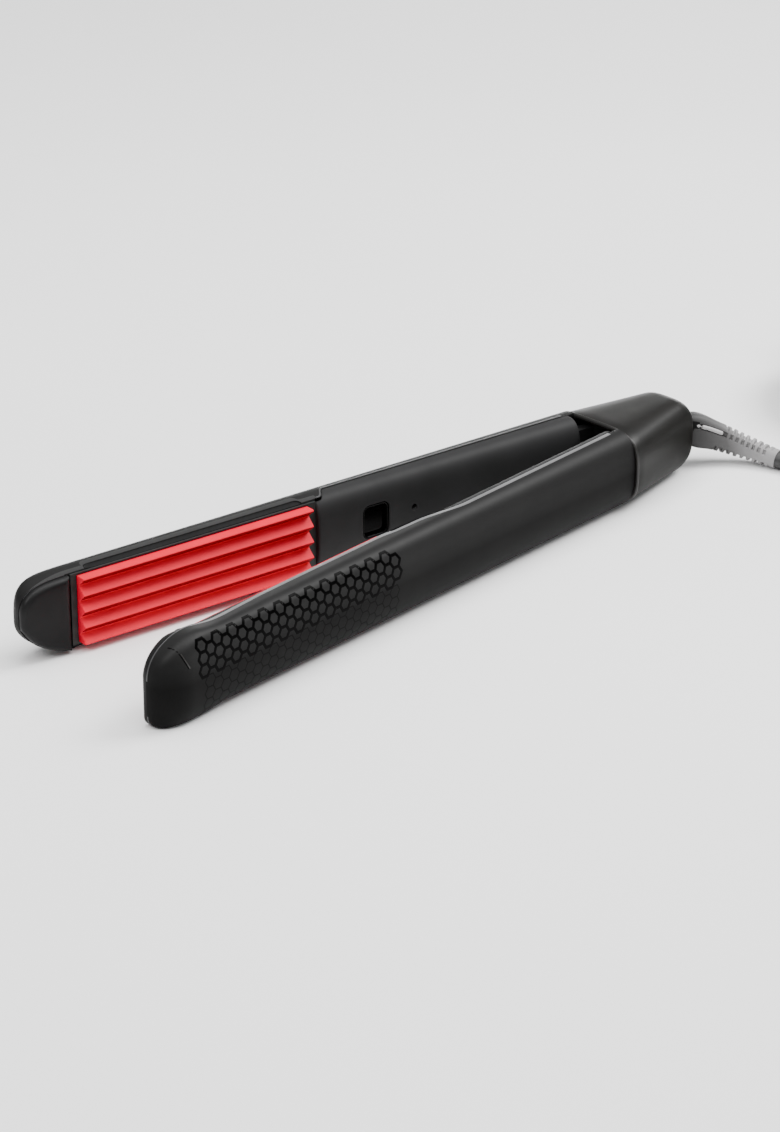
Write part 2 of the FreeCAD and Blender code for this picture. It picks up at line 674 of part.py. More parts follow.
# cord swivel: a ring that turns in the housing's end, behind it a fixed retainer
ring = cyl(SWIVEL_R, 4.9, (20.4, 0, 0), (1, 0, 0)).fuse(cyl(SWIVEL_R + 1.0, 0.8, (20.4, 0, 0), (1, 0, 0)))
ring = ring.cut(cyl(SWIVEL_BORE, 9, (19, 0, 0), (1, 0, 0)))
ring = ring.cut(Part.makeCone(SWIVEL_BORE, 6.15, 1.1, V(24.3, 0, 0), V(1, 0, 0)))
lip = [e for e in ring.Edges if e.BoundBox.XMin > 25.29 and e.BoundBox.YMax > 6.3]
try:
    ring = ring.makeFillet(0.2, lip)
except Exception:
    pass
OUT["swivel_ring"] = solid(ring)
ret = cyl(8.4, 2.6, (17.5, 0, 0), (1, 0, 0)).cut(cyl(4.25, 6, (16, 0, 0), (1, 0, 0)))
ret = ret.fuse(box(17.5, 19.6, -11.0, 11.0, 8.0, 11.6).common(cap_form(CAP_X0, CAP_X1 - 3.0, CAP_WALL + 0.05, CAP_RB - CAP_WALL)).cut(cyl(4.25, 6, (16, 0, 0), (1, 0, 0))))
ret = ret.fuse(box(17.5, 19.6, -11.0, 11.0, -11.6, -8.0).common(cap_form(CAP_X0, CAP_X1 - 3.0, CAP_WALL + 0.05, CAP_RB - CAP_WALL)))
ret = ret.common(cap_form(CAP_X0, CAP_X1 - 3.0, CAP_WALL + 0.05, CAP_RB - CAP_WALL))
OUT["swivel_retainer"] = solid(ret.removeSplitter())

# ---------------------------------------------------------------- cord boot, cord, coil, tie, plug
BOOT = [  # centre line of the boot: x, y, z, half height, half width
    (20.6, 0.0, 0.0, 4.35, 3.8),
    (23.0, 0.0, 0.0, 4.4, 3.85),
    (25.6, -0.25, -0.1, 4.15, 3.65),
    (29.0, -2.75, -1.1, 5.25, 4.4),
    (31.9, -5.4, -2.6, 5.55, 4.45),
    (35.4, -8.6, -4.3, 5.2, 4.35),
    (39.2, -12.4, -6.3, 4.75, 4.15),
    (42.1, -16.0, -7.95, 4.4, 4.0),
    (44.3, -19.7, -9.2, 4.05, 3.85),
    (45.9, -24.1, -10.2, 3.7, 3.65),
    (47.1, -28.9, -10.86, 3.36, 3.36),
]
BOOT_ROLL = 16.0      # the boot's flat top leans towards the front arm


def strain_relief():
    n = len(BOOT)
    line = Part.BSplineCurve()
    line.interpolate([V(*b[:3]) for b in BOOT])
    wires = []
    for i, (x, y, zc, h, w) in enumerate(BOOT):
        par = line.parameter(V(x, y, zc))
        d = line.tangent(par)[0]
        if i <= 1:
            d = V(1, 0, 0)
        if i == 2:
            d = V(1, -0.35, -0.14)
        d = V(d.x, d.y, d.z)
        d.normalize()
        side = d.cross(Z)
        side.normalize()
        up = side.cross(d)
        up.normalize()
        roll = math.radians(BOOT_ROLL) * smooth((i - 1) / 4.0)
        a = side * math.cos(roll) + up * math.sin(roll)
        b = up * math.cos(roll) - side * math.sin(roll)
        e = 2.6 + 0.7 * smooth((i - 1) / 3.0) - 1.1 * max(0.0, (i - 5) / 5.0)
        q = quarter(w, h, e, 6)
        pts = q + [(-u, v) for u, v in reversed(q[:-1])]
        pts = pts + [(u, -v) for u, v in reversed(pts[1:-1])]
        spl = Part.BSplineCurve()
        spl.interpolate([V(x, y, zc) + a * u + b * v for u, v in pts], True)
        wires.append(Part.Wire([spl.toShape()]))
    body = Part.makeLoft(wires, True, False)
    neck = cyl(3.9, 3.9, (16.8, 0, 0), (1, 0, 0))
    head = cyl(5.4, 1.6, (15.6, 0, 0), (1, 0, 0))
    # room for the ring that turns round its root
    body = body.cut(cyl(8.5, 7.9, (17.6, 0, 0), (1, 0, 0)).cut(cyl(SWIVEL_BORE - 0.12, 9, (17, 0, 0), (1, 0, 0))))
    body = body.fuse(neck).fuse(head).removeSplitter()
    print("boot valid", body.isValid(), "volume %.0f" % body.Volume)
    return solid(body)


OUT["strain_relief"] = strain_relief()

LEAD = [
    (47.1, -28.9, -10.86),
    (49.5, -38.4, -11.12),
    (54.5, -48.0, -11.12),
    (62.2, -56.1, -11.12),
    (71.9, -62.0, -11.12),
    (83.0, -65.4, -11.12),
    (94.7, -67.1, -11.12),
    (106.5, -67.9, -11.12),
    (116.7, -67.9, -11.12),
    (126.8, -68.5, -11.12),
]
lead = tube(LEAD, CORD_R, "cord_lead")
OUT["cord_lead"] = solid(lead)

RO = COIL_RM + ACROSS * CORD_R
RI = COIL_RM - ACROSS * CORD_R
COIL_H = 2 * CORD_R + (LAYERS - 1) * LAYER_H
coil = cyl(RO, COIL_H, (COIL_X, COIL_Y, FLOOR), (0, 0, 1)).cut(cyl(RI, COIL_H + 2, (COIL_X, COIL_Y, FLOOR - 1), (0, 0, 1)))
# tie: a strap right round the bundle
TIE_A, TIE_W, TIE_T = 185.0, 11.0, 1.2
to = box(RI - TIE_T - 0.3, RO + TIE_T + 0.3, -TIE_W / 2, TIE_W / 2, FLOOR, FLOOR + COIL_H + TIE_T + 0.1)
ti = box(RI - 0.3, RO + 0.3, -TIE_W, TIE_W, FLOOR + TIE_T, FLOOR + COIL_H + 0.1)
tie = to.cut(ti)
tie.rotate(O, Z, TIE_A)
tie.translate(V(COIL_X, COIL_Y, 0))
OUT["coil_tie"] = solid(tie)
OUT["cord_coil"] = solid(coil.cut(tie))

# the cord's end climbs onto the coil, where the plug lies
PLUG_Z = FLOOR + COIL_H + 6.85
TAIL = [
    (91.3, -39.7, 8.08),
    (95.7, -49.7, 8.78),
    (102.9, -57.9, 10.58),
    (112.4, -63.3, 12.78),
    (123.2, -65.3, 14.38),
    (134.2, -64.4, 14.88),
    (143.6, -62.8, 15.08),
    (152.2, -58.6, 15.58),
    (159.3, -52.2, 16.38),
    (164.4, -44.1, 17.38),
    (167.0, -34.9, PLUG_Z),
    (167.0, -25.7, PLUG_Z),
]
tail = tube(TAIL, CORD_R, "cord_tail")
OUT["cord_tail"] = solid(tail)

px, py = TAIL[-1][0], TAIL[-1][1]


def plug_parts():
    rel_l, body_l = 13.0, 34.0
    secs = []
    for d, w, h in ((0.0, 3.55, 3.55), (4.0, 4.1, 4.0), (9.0, 4.9, 4.6), (rel_l, 6.0, 5.0)):
        secs.append(Part.Wire([Part.Ellipse(V(px, py + d, PLUG_Z), w, min(h, w - 0.02)).toShape()]))
    # ellipses are built in the XY plane, so turn them to stand across the cord
    wires = []
    for (d, w, h) in ((0.0, 3.6, 3.5), (4.0, 4.2, 4.0), (9.0, 5.0, 4.5), (rel_l, 6.2, 4.9)):
        el = Part.Ellipse(V(0, 0, 0), w, h)
        sh = el.toShape()
        sh.rotate(O, V(1, 0, 0), 90)
        sh.translate(V(px, py + d, PLUG_Z))
        wires.append(Part.Wire([sh]))
    relief = Part.makeLoft(wires, True, False)
    y0 = py + rel_l
    # flat two-pin body: narrow at the cord, wide at the pins
    pl = [(-6.4, 0), (-9.5, 5), (-15.0, 16), (-17.4, 24), (-17.65, body_l), (17.65, body_l), (17.4, 24), (15.0, 16), (9.5, 5), (6.4, 0)]
    vs = [V(px + a, y0 + c, PLUG_Z - 6.85) for a, c in pl]
    body = Part.Face(Part.makePolygon(vs + [vs[0]])).extrude(V(0, 0, 13.7))
    try:
        q = body.makeFillet(2.2, [e for e in body.Edges if abs(e.BoundBox.ZMax - e.BoundBox.ZMin) < 1e-3 and e.BoundBox.YMax < y0 + body_l - 0.01 and e.BoundBox.YMin > y0 + 0.01 - 1])
        if q.isValid():
            body = q
    except Exception:
        pass
    pins = []
    for sg in (1, -1):
        p = cyl(PLUG_PIN_R, PLUG_PIN_L, (px + sg * PIN_SPACING / 2, y0 + body_l, PLUG_Z), (0, 1, 0))
        tipe = [e for e in p.Edges if e.BoundBox.YMin > y0 + body_l + PLUG_PIN_L - 1e-3]
        p = p.makeFillet(1.4, tipe)
        pins.append(p.Solids[0])
    return solid(relief), solid(body), Part.makeCompound(pins), y0, body_l


relief, pbody, pins, y0, body_l = plug_parts()
OUT["plug_strain_relief"] = relief
OUT["plug_body"] = pbody
OUT["plug_pins"] = pins

# ---------------------------------------------------------------- into the part's frame, and out
CORD_NODES = ["strain_relief", "cord_lead", "cord_coil", "coil_tie", "cord_tail", "plug_strain_relief", "plug_body", "plug_pins"]
lo = [1e9] * 3
hi = [-1e9] * 3
lo_all = [1e9] * 3
hi_all = [-1e9] * 3
for name, sh in OUT.items():
    sh = sh.copy()
    sh.translate(V(HX, HY, HZ))
    ok = sh.isValid()
    n = len(sh.Solids)
    bb = sh.optimalBoundingBox() if hasattr(sh, "optimalBoundingBox") else sh.BoundBox
    mn, mx = (bb.XMin, bb.YMin, bb.ZMin), (bb.XMax, bb.YMax, bb.ZMax)
    for i in range(3):
        lo_all[i] = min(lo_all[i], mn[i])
        hi_all[i] = max(hi_all[i], mx[i])
        if name not in CORD_NODES:
            lo[i] = min(lo[i], mn[i])
            hi[i] = max(hi[i], mx[i])
    print("%-24s valid %s solids %d volume %.1f  x %.2f..%.2f y %.2f..%.2f z %.2f..%.2f" % (
        name, ok, n, sh.Volume, mn[0], mx[0], mn[1], mx[1], mn[2], mx[2]))
    sh.exportStep("parts/%s.step" % name)
print("object without cord", [round(v, 2) for v in lo], [round(v, 2) for v in hi])
print("all", [round(v, 2) for v in lo_all], [round(v, 2) for v in hi_all])
print("hinge axis", (HX, HY), "plug face y %.2f x %.2f z %.2f" % (y0 + body_l + HY, px + HX, PLUG_Z + HZ))
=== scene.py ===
import bpy
import bmesh
import math
from mathutils import Vector, Matrix


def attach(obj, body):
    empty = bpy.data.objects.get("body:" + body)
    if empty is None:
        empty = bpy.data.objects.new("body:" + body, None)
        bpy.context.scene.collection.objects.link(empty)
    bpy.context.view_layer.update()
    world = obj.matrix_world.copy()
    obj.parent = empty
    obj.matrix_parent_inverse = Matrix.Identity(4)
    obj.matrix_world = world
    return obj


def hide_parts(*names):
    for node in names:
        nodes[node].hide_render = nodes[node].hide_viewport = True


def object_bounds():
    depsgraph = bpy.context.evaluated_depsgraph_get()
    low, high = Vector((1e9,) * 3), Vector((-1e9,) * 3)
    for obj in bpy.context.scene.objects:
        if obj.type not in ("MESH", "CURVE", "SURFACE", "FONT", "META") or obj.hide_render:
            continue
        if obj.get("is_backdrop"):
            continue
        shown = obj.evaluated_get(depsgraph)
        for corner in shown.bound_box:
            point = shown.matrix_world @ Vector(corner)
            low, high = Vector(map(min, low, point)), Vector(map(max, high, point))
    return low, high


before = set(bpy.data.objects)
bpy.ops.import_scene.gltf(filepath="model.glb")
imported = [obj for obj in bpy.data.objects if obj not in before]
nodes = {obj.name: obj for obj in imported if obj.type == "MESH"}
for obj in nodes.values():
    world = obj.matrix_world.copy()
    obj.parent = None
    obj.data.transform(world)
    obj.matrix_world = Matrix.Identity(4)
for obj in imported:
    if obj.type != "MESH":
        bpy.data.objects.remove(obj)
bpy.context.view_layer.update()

# ------------------------------------------------------------------ the object's measures, in mm
SH, OPEN = 227.8, 6.14
HX, HY, HZ = 110.87, 0.0, 14.32
PLATE_L, PLATE_HW, PITCH, RIDGE, YH, BASE_T = 90.0, 11.5, 5.57, 2.99, 1.65, 1.3
TIP_S, TIP_HW, TIP_BASE, TIP_E, BOW_R = -21.0, 14.3, -2.0, 3.0, 9.0
# start and squareness of the tip's rounded outline: (arm, upper or lower half)
TIPS = {(1, 1): (3.0, 3.8), (1, -1): (-2.0, 1.65), (-1, 1): (0.0, 2.4), (-1, -1): (-7.0, 11.0)}
FLARE = {(1, 1): 0.0, (1, -1): 1.1}   # share of the widening towards the tip
REACH = {1: 1.027, -1: 0.965}   # length of each arm's tip beyond the plate, against the closed form
W100, WK, B100, BK = 13.36, 0.0022, 15.53, 0.0171
U_WIDE, U_RIM, SE, WALL = 8.28, 3.5, 2.6, 1.8
RIMS = {1: (95.6, 100.4), -1: (103.0, 127.0)}   # where the rim steps back, rear and front arm
COVER_S0, COVER_S1, CROWN, COVER_T = 93.6, 206.5, 0.75, 1.8
END_X = -17.48
SHIELD_S0, SHIELD_S1, NOTCH_U = 3.6, 88.4, 6.0
WIN_S, WIN_Z, WIN_L, WIN_H = 117.3, -0.2, 11.2, 12.2
LED_S, LED_Z, LED_R = 133.4, 0.4, 1.1
CAP_X0, CAP_X1, CAP_B0, CAP_BK, CAP_C, CAP_WALL, CAP_RB, CAP_RC = -17.2, 24.5, 20.62, 0.2642, 13.35, 1.8, 3.0, 8.5
CORD_R, FLOOR = 3.2, -14.32
COIL_X, COIL_Y, COIL_RM, LAYERS, ACROSS, LAYER_H = 133.0, -24.5, 38.0, 4, 3, 6.4
TH = math.radians(OPEN)


def row(x, y, z):
    """Hinge axis coordinates in mm to the row frame in metres."""
    return Vector(((x + HX) / 1000, (y + HY) / 1000, (z + HZ) / 1000))


# ------------------------------------------------------------------ camera
cam = bpy.data.objects.new("camera", bpy.data.cameras.new("camera"))
bpy.context.scene.collection.objects.link(cam)
cam.data.sensor_width = 36.0
cam.data.lens = 114.482
cam.data.clip_start, cam.data.clip_end = 0.02, 20.0
cam.location = row(-866.86, -786.93, 482.78)
cam.rotation_euler = (math.radians(90 - 24.41), 0.0, math.radians(-43.67))
bpy.context.scene.camera = cam


# ------------------------------------------------------------------ materials
def new_mat(name):
    m = bpy.data.materials.new(name)
    m.use_nodes = True
    nt = m.node_tree
    bsdf = nt.nodes["Principled BSDF"]
    return m, nt, bsdf


def noise(nt, scale, detail=2.0, rough=0.5, stretch=None):
    tc = nt.nodes.new("ShaderNodeTexCoord")
    n = nt.nodes.new("ShaderNodeTexNoise")
    n.inputs["Scale"].default_value = scale
    n.inputs["Detail"].default_value = detail
    n.inputs["Roughness"].default_value = rough
    if stretch:
        mp = nt.nodes.new("ShaderNodeMapping")
        mp.inputs["Scale"].default_value = stretch
        nt.links.new(tc.outputs["Object"], mp.inputs["Vector"])
        nt.links.new(mp.outputs["Vector"], n.inputs["Vector"])
    else:
        nt.links.new(tc.outputs["Object"], n.inputs["Vector"])
    return n


def ramp(nt, src, stops):
    r = nt.nodes.new("ShaderNodeValToRGB")
    els = r.color_ramp.elements
    while len(els) < len(stops):
        els.new(0.5)
    for e, (pos, col) in zip(els, stops):
        e.position = pos
        e.color = (*col, 1.0) if len(col) == 3 else col
    nt.links.new(src, r.inputs["Fac"])
    return r


def rough_map(nt, src, lo, hi, bsdf):
    mr = nt.nodes.new("ShaderNodeMapRange")
    mr.inputs["To Min"].default_value = lo
    mr.inputs["To Max"].default_value = hi
    nt.links.new(src, mr.inputs["Value"])
    nt.links.new(mr.outputs["Result"], bsdf.inputs["Roughness"])


def bump(nt, src, strength, distance, bsdf):
    b = nt.nodes.new("ShaderNodeBump")
    b.inputs["Strength"].default_value = strength
    b.inputs["Distance"].default_value = distance
    nt.links.new(src, b.inputs["Height"])
    nt.links.new(b.outputs["Normal"], bsdf.inputs["Normal"])
    return b


def plastic(name, dark, light, r0, r1, grain=2600.0, strength=0.12, spec=0.5, metallic=0.0, coat=0.0):
    """Moulded plastic: cloudy colour, fine grain, uneven sheen."""
    m, nt, b = new_mat(name)
    cloud = noise(nt, 55.0, 3.0)
    c = ramp(nt, cloud.outputs["Fac"], [(0.3, dark), (0.7, light)])
    nt.links.new(c.outputs["Color"], b.inputs["Base Color"])
    patch = noise(nt, 140.0, 4.0, 0.6)
    rough_map(nt, patch.outputs["Fac"], r0, r1, b)
    fine = noise(nt, grain, 2.0, 0.6)
    bump(nt, fine.outputs["Fac"], strength, 0.00006, b)
    b.inputs["Specular IOR Level"].default_value = spec
    b.inputs["Metallic"].default_value = metallic
    if coat:
        b.inputs["Coat Weight"].default_value = coat
        b.inputs["Coat Roughness"].default_value = 0.08
    return m


def painted_light_by_height(mat, stops):
    """Painted shade and highlight: sheen set by the height over the floor, so faces darken or brighten with height the
    way the light would make them; stops as (mm, level).
    """
    nt = mat.node_tree
    b = next(n for n in nt.nodes if n.type == "BSDF_PRINCIPLED")
    g = nt.nodes.new("ShaderNodeNewGeometry")
    x = nt.nodes.new("ShaderNodeSeparateXYZ")
    m = nt.nodes.new("ShaderNodeMapRange")
    m.inputs["From Min"].default_value = 0.0
    m.inputs["From Max"].default_value = 0.03
    nt.links.new(g.outputs["Position"], x.inputs["Vector"])
    nt.links.new(x.outputs["Z"], m.inputs["Value"])
    c = ramp(nt, m.outputs["Result"], [(z / 30.0, (v, v, v)) for z, v in stops])
    nt.links.new(c.outputs["Color"], b.inputs["Specular IOR Level"])


def metal(name, dark, light, r0, r1, stretch=(1, 1, 1), grain=900.0, strength=0.15):
    m, nt, b = new_mat(name)
    n = noise(nt, grain, 3.0, 0.6, stretch)
    c = ramp(nt, n.outputs["Fac"], [(0.3, dark), (0.7, light)])
    nt.links.new(c.outputs["Color"], b.inputs["Base Color"])
    rough_map(nt, n.outputs["Fac"], r0, r1, b)
    bump(nt, n.outputs["Fac"], strength, 0.00003, b)
    b.inputs["Metallic"].default_value = 1.0
    return m


M = {
    "shell": plastic("shell_satin", (0.0018, 0.0018, 0.0018), (0.0034, 0.0033, 0.0032), 0.50, 0.58, spec=0.155),
    "inner": plastic("inner_satin", (0.0118, 0.0118, 0.0120), (0.0162, 0.0162, 0.0165), 0.56, 0.64, spec=0.16),
    "tipin": plastic("tip_satin", (0.0042, 0.0041, 0.0042), (0.0064, 0.0062, 0.0064), 0.38, 0.48, spec=0.15),
    "housing": plastic("housing_satin", (0.0036, 0.0034, 0.0029), (0.0060, 0.0056, 0.0047), 0.38, 0.46, spec=0.16),
    "shield": plastic("shield_matt", (0.0025, 0.0025, 0.0025), (0.005, 0.005, 0.005), 0.45, 0.6, spec=0.15),
    # lighter grey: painted highlight on the housing's rounded mouth lip and beside the tip seam
    "lip": plastic("lip_and_seam_painted_highlight", (0.011, 0.0105, 0.010), (0.016, 0.015, 0.014), 0.30, 0.38, spec=0.35),
    # light grey edge materials: painted highlight along the arms' rounded rim and tip edges
    "rim": plastic("rim_edge_painted_highlight", (0.10, 0.10, 0.102), (0.14, 0.14, 0.142), 0.32, 0.42, spec=0.5),
    "rim_highlight_dim": plastic("rim_edge_painted_highlight_dim", (0.036, 0.036, 0.037), (0.050, 0.050, 0.051), 0.32, 0.42, spec=0.4),
    "rim_highlight_soft": plastic("rim_edge_painted_highlight_soft", (0.013, 0.013, 0.013), (0.020, 0.020, 0.020), 0.38, 0.48, spec=0.3),
    "carrier": plastic("carrier_matt", (0.011, 0.013, 0.0125), (0.017, 0.020, 0.019), 0.45, 0.6, spec=0.3),
    "frame": plastic("frame_glass_filled", (0.008, 0.008, 0.008), (0.016, 0.016, 0.016), 0.5, 0.7, grain=1500, strength=0.35, spec=0.3),
    "gloss": plastic("gloss_black", (0.0005, 0.0005, 0.0005), (0.0011, 0.0011, 0.0011), 0.10, 0.18, strength=0.01, spec=0.06),
    "pattern": plastic("pattern_black", (0.0003, 0.0003, 0.0003), (0.0007, 0.0007, 0.0007), 0.30, 0.40, strength=0.02, spec=0.02),
    "groove": plastic("pattern_faint_satin", (0.0010, 0.0010, 0.0010), (0.0018, 0.0018, 0.0018), 0.45, 0.55, strength=0.05, spec=0.032),
    # painted shade for the boot's hollow beside the housing
    "hollow_painted_shade": plastic("boot_hollow_painted_shade", (0.004, 0.004, 0.004), (0.007, 0.007, 0.007), 0.5, 0.7, spec=0.1),
    "boot_bar": plastic("boot_core_grey", (0.30, 0.29, 0.29), (0.38, 0.37, 0.37), 0.4, 0.5, strength=0.1),
    "cord": plastic("cord_sheath", (0.013, 0.013, 0.013), (0.022, 0.022, 0.022), 0.42, 0.55, grain=2200, strength=0.2),
    "plug": plastic("plug_matt", (0.012, 0.012, 0.012), (0.020, 0.020, 0.020), 0.4, 0.52, grain=1800, strength=0.25),
    "heater": plastic("heater_film", (0.55, 0.50, 0.40), (0.68, 0.64, 0.55), 0.2, 0.35, strength=0.05),
    "lead": plastic("lead_sleeve", (0.62, 0.61, 0.58), (0.74, 0.73, 0.70), 0.4, 0.55),
    "board": plastic("board_green", (0.01, 0.06, 0.025), (0.02, 0.09, 0.04), 0.25, 0.4, grain=900, strength=0.2),
    "component": plastic("component_black", (0.012, 0.012, 0.012), (0.025, 0.025, 0.025), 0.4, 0.6),
    "sensor": plastic("sensor_coat", (0.10, 0.04, 0.015), (0.16, 0.07, 0.03), 0.25, 0.35),
    "washer": plastic("washer_natural", (0.62, 0.60, 0.54), (0.72, 0.70, 0.64), 0.4, 0.5),
    "lens": plastic("lamp_lens", (0.0012, 0.0012, 0.0012), (0.0022, 0.0022, 0.0022), 0.2, 0.3, strength=0.02, spec=0.15),
    "spring": metal("spring_steel", (0.34, 0.34, 0.35), (0.50, 0.50, 0.51), 0.25, 0.4),
    "steel": metal("plain_steel", (0.42, 0.42, 0.43), (0.56, 0.56, 0.57), 0.22, 0.36),
    "fuse": metal("fuse_case", (0.50, 0.50, 0.50), (0.62, 0.62, 0.62), 0.3, 0.45),
    "pin": metal("pin_nickel", (0.55, 0.54, 0.51), (0.68, 0.67, 0.64), 0.14, 0.26, (1, 0.05, 1), 1400.0),
}


def plate_material():
    """Red ceramic coating on the ridged plates: satin, faintly mottled."""
    m, nt, b = new_mat("plate_red_ceramic")
    cloud = noise(nt, 90.0, 4.0, 0.6)
    c = ramp(nt, cloud.outputs["Fac"], [(0.25, (0.66, 0.0025, 0.024)), (0.75, (0.76, 0.0040, 0.032))])
    nt.links.new(c.outputs["Color"], b.inputs["Base Color"])
    fine = noise(nt, 2200.0, 3.0, 0.6)
    rough_map(nt, cloud.outputs["Fac"], 0.42, 0.52, b)
    bump(nt, fine.outputs["Fac"], 0.14, 0.00005, b)
    b.inputs["Specular IOR Level"].default_value = 0.10
    return m


def strap_material():
    """Woven hook-and-loop strap."""
    m, nt, b = new_mat("strap_woven")
    tc = nt.nodes.new("ShaderNodeTexCoord")
    w1 = nt.nodes.new("ShaderNodeTexWave")
    w1.inputs["Scale"].default_value = 520.0
    w1.inputs["Distortion"].default_value = 1.2
    nt.links.new(tc.outputs["Object"], w1.inputs["Vector"])
    w2 = nt.nodes.new("ShaderNodeTexWave")
    w2.bands_direction = "Z"
    w2.inputs["Scale"].default_value = 520.0
    w2.inputs["Distortion"].default_value = 1.2
    nt.links.new(tc.outputs["Object"], w2.inputs["Vector"])
    mix = nt.nodes.new("ShaderNodeMath")
    mix.operation = "MAXIMUM"
    nt.links.new(w1.outputs["Fac"], mix.inputs[0])
    nt.links.new(w2.outputs["Fac"], mix.inputs[1])
    c = ramp(nt, mix.outputs["Value"], [(0.2, (0.006, 0.006, 0.006)), (0.9, (0.03, 0.03, 0.032))])
    nt.links.new(c.outputs["Color"], b.inputs["Base Color"])
    b.inputs["Roughness"].default_value = 0.85
    b.inputs["Sheen Weight"].default_value = 0.3
    bump(nt, mix.outputs["Value"], 0.5, 0.0002, b)
    return m


def boot_material():
    """Rubber, darker where it leaves the housing and greyer towards its free end."""
    m, nt, b = new_mat("boot_rubber")
    tc = nt.nodes.new("ShaderNodeTexCoord")
    sep = nt.nodes.new("ShaderNodeSeparateXYZ")
    nt.links.new(tc.outputs["Object"], sep.inputs["Vector"])
    mr = nt.nodes.new("ShaderNodeMapRange")
    mr.inputs["From Min"].default_value = (20.0 + HX) / 1000
    mr.inputs["From Max"].default_value = (46.0 + HX) / 1000
    nt.links.new(sep.outputs["X"], mr.inputs["Value"])
    cloud = noise(nt, 55.0, 3.0)
    mix = nt.nodes.new("ShaderNodeMath")
    mix.operation = "MULTIPLY_ADD"
    mix.inputs[1].default_value = 0.16
    nt.links.new(cloud.outputs["Fac"], mix.inputs[0])
    nt.links.new(mr.outputs["Result"], mix.inputs[2])
    c = ramp(nt, mix.outputs["Value"], [(0.28, (0.022, 0.021, 0.021)), (0.46, (0.036, 0.035, 0.035)), (0.68, (0.070, 0.068, 0.068)), (0.98, (0.25, 0.245, 0.246))])
    nt.links.new(c.outputs["Color"], b.inputs["Base Color"])
    patch = noise(nt, 140.0, 4.0, 0.6)
    rough_map(nt, patch.outputs["Fac"], 0.5, 0.66, b)
    fine = noise(nt, 3200.0, 2.0, 0.6)
    bump(nt, fine.outputs["Fac"], 0.22, 0.00006, b)
    b.inputs["Specular IOR Level"].default_value = 0.35
    return m


M["boot"] = boot_material()
# painted shade for the undersides of the plate crests
M["redline"] = plastic("plate_crest_painted_shade", (0.15, 0.0010, 0.0025), (0.20, 0.0016, 0.004), 0.5, 0.6, strength=0.05, spec=0.05)
M["plate"] = plate_material()
M["strap"] = strap_material()


# painted shade and highlight: little sheen low down darkens the lower faces, more sheen near the top brightens the
# upper faces
painted_light_by_height(M["shell"], [(3.0, 0.075), (14.0, 0.055), (19.0, 0.11), (23.5, 0.205), (28.0, 0.20)])
painted_light_by_height(M["housing"], [(5.0, 0.045), (13.0, 0.075), (19.0, 0.14), (24.0, 0.27), (28.0, 0.12)])
painted_light_by_height(M["tipin"], [(6.0, 0.09), (14.0, 0.14), (22.0, 0.17)])


def put(obj, mat):
    if not obj.data.materials:
        obj.data.materials.append(mat)
    for i in range(len(obj.data.materials)):
        obj.data.materials[i] = mat


# ------------------------------------------------------------------ mesh helpers
def quarter(a, b, e, n):
    """Quarter of a superellipse from (a, 0) to (0, b), its points evenly spread along the curve."""
    k = 400
    fine = []
    for i in range(k + 1):
        t = math.pi / 2 * i / k
        fine.append((a * math.cos(t) ** (2 / e), b * math.sin(t) ** (2 / e)))
    return resample(fine, n)


def resample(pts, n, start=0.0):
    """n + 1 points spread evenly along a polyline, from the distance start to its end."""
    length = [0.0]
    for p, q in zip(pts[:-1], pts[1:]):
        length.append(length[-1] + math.dist(p, q))
    out = []
    j = 0
    for i in range(n + 1):
        want = start + (length[-1] - start) * i / n
        while j < len(pts) - 2 and length[j + 1] < want:
            j += 1
        seg = length[j + 1] - length[j]
        f = 0.0 if seg < 1e-12 else min(1.0, max(0.0, (want - length[j]) / seg))
        out.append(tuple(a + f * (b - a) for a, b in zip(pts[j], pts[j + 1])))
    return out


def mesh(name, verts, faces, mat, body=None, replaces=(), sharp=38.0, merge=1e-6, recalc=True):
    me = bpy.data.meshes.new(name)
    me.from_pydata([tuple(v) for v in verts], [], faces)
    bm = bmesh.new()
    bm.from_mesh(me)
    bmesh.ops.remove_doubles(bm, verts=bm.verts, dist=merge)
    bmesh.ops.dissolve_degenerate(bm, dist=1e-7, edges=bm.edges)
    if recalc:
        bmesh.ops.recalc_face_normals(bm, faces=bm.faces)
    for f in bm.faces:
        f.smooth = True
    lim = math.radians(sharp)
    for e in bm.edges:
        if len(e.link_faces) == 2:
            e.smooth = e.calc_face_angle(0.0) < lim
    bm.to_mesh(me)
    bm.free()
    me.update()
    ob = bpy.data.objects.new(name, me)
    bpy.context.scene.collection.objects.link(ob)
    put(ob, mat)
    if body:
        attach(ob, body)
    if replaces:
        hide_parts(*replaces)
    return ob


def loft(loops, closed=True, cap0=True, cap1=True):
    """Vertices and faces of a skin through equal loops."""
    verts, faces = [], []
    n = len(loops[0])
    for lp in loops:
        verts += lp
    for i in range(len(loops) - 1):
        for j in range(n if closed else n - 1):
            k = (j + 1) % n
            faces.append((i * n + j, i * n + k, (i + 1) * n + k, (i + 1) * n + j))
    if cap0:
        faces.append(tuple(reversed(range(n))))
    if cap1:
        faces.append(tuple(range((len(loops) - 1) * n, len(loops) * n)))
    return verts, faces


def join(parts):
    verts, faces = [], []
    for v, f in parts:
        o = len(verts)
        verts += v
        faces += [tuple(i + o for i in q) for q in f]
    return verts, faces


def smooth(t):
    t = max(0.0, min(1.0, t))
    return t * t * (3 - 2 * t)


# ------------------------------------------------------------------ arm geometry
def W(s, side=0, sg=0):
    """Half width of an arm; side and sg pick the arm and its upper or lower half."""
    w = W100 + WK * (s - 100.0)
    if s < 9.0:
        w += FLARE.get((side, sg), 1.0) * (TIP_HW - (W100 + WK * (-106.0))) * smooth((9.0 - s) / 15.0)
    base, e = TIPS.get((side, sg), (TIP_BASE, TIP_E))
    if s < base:
        w *= (1 - ((base - s) / (base - TIP_S + 0.02)) ** e) ** (1 / e)
    return w


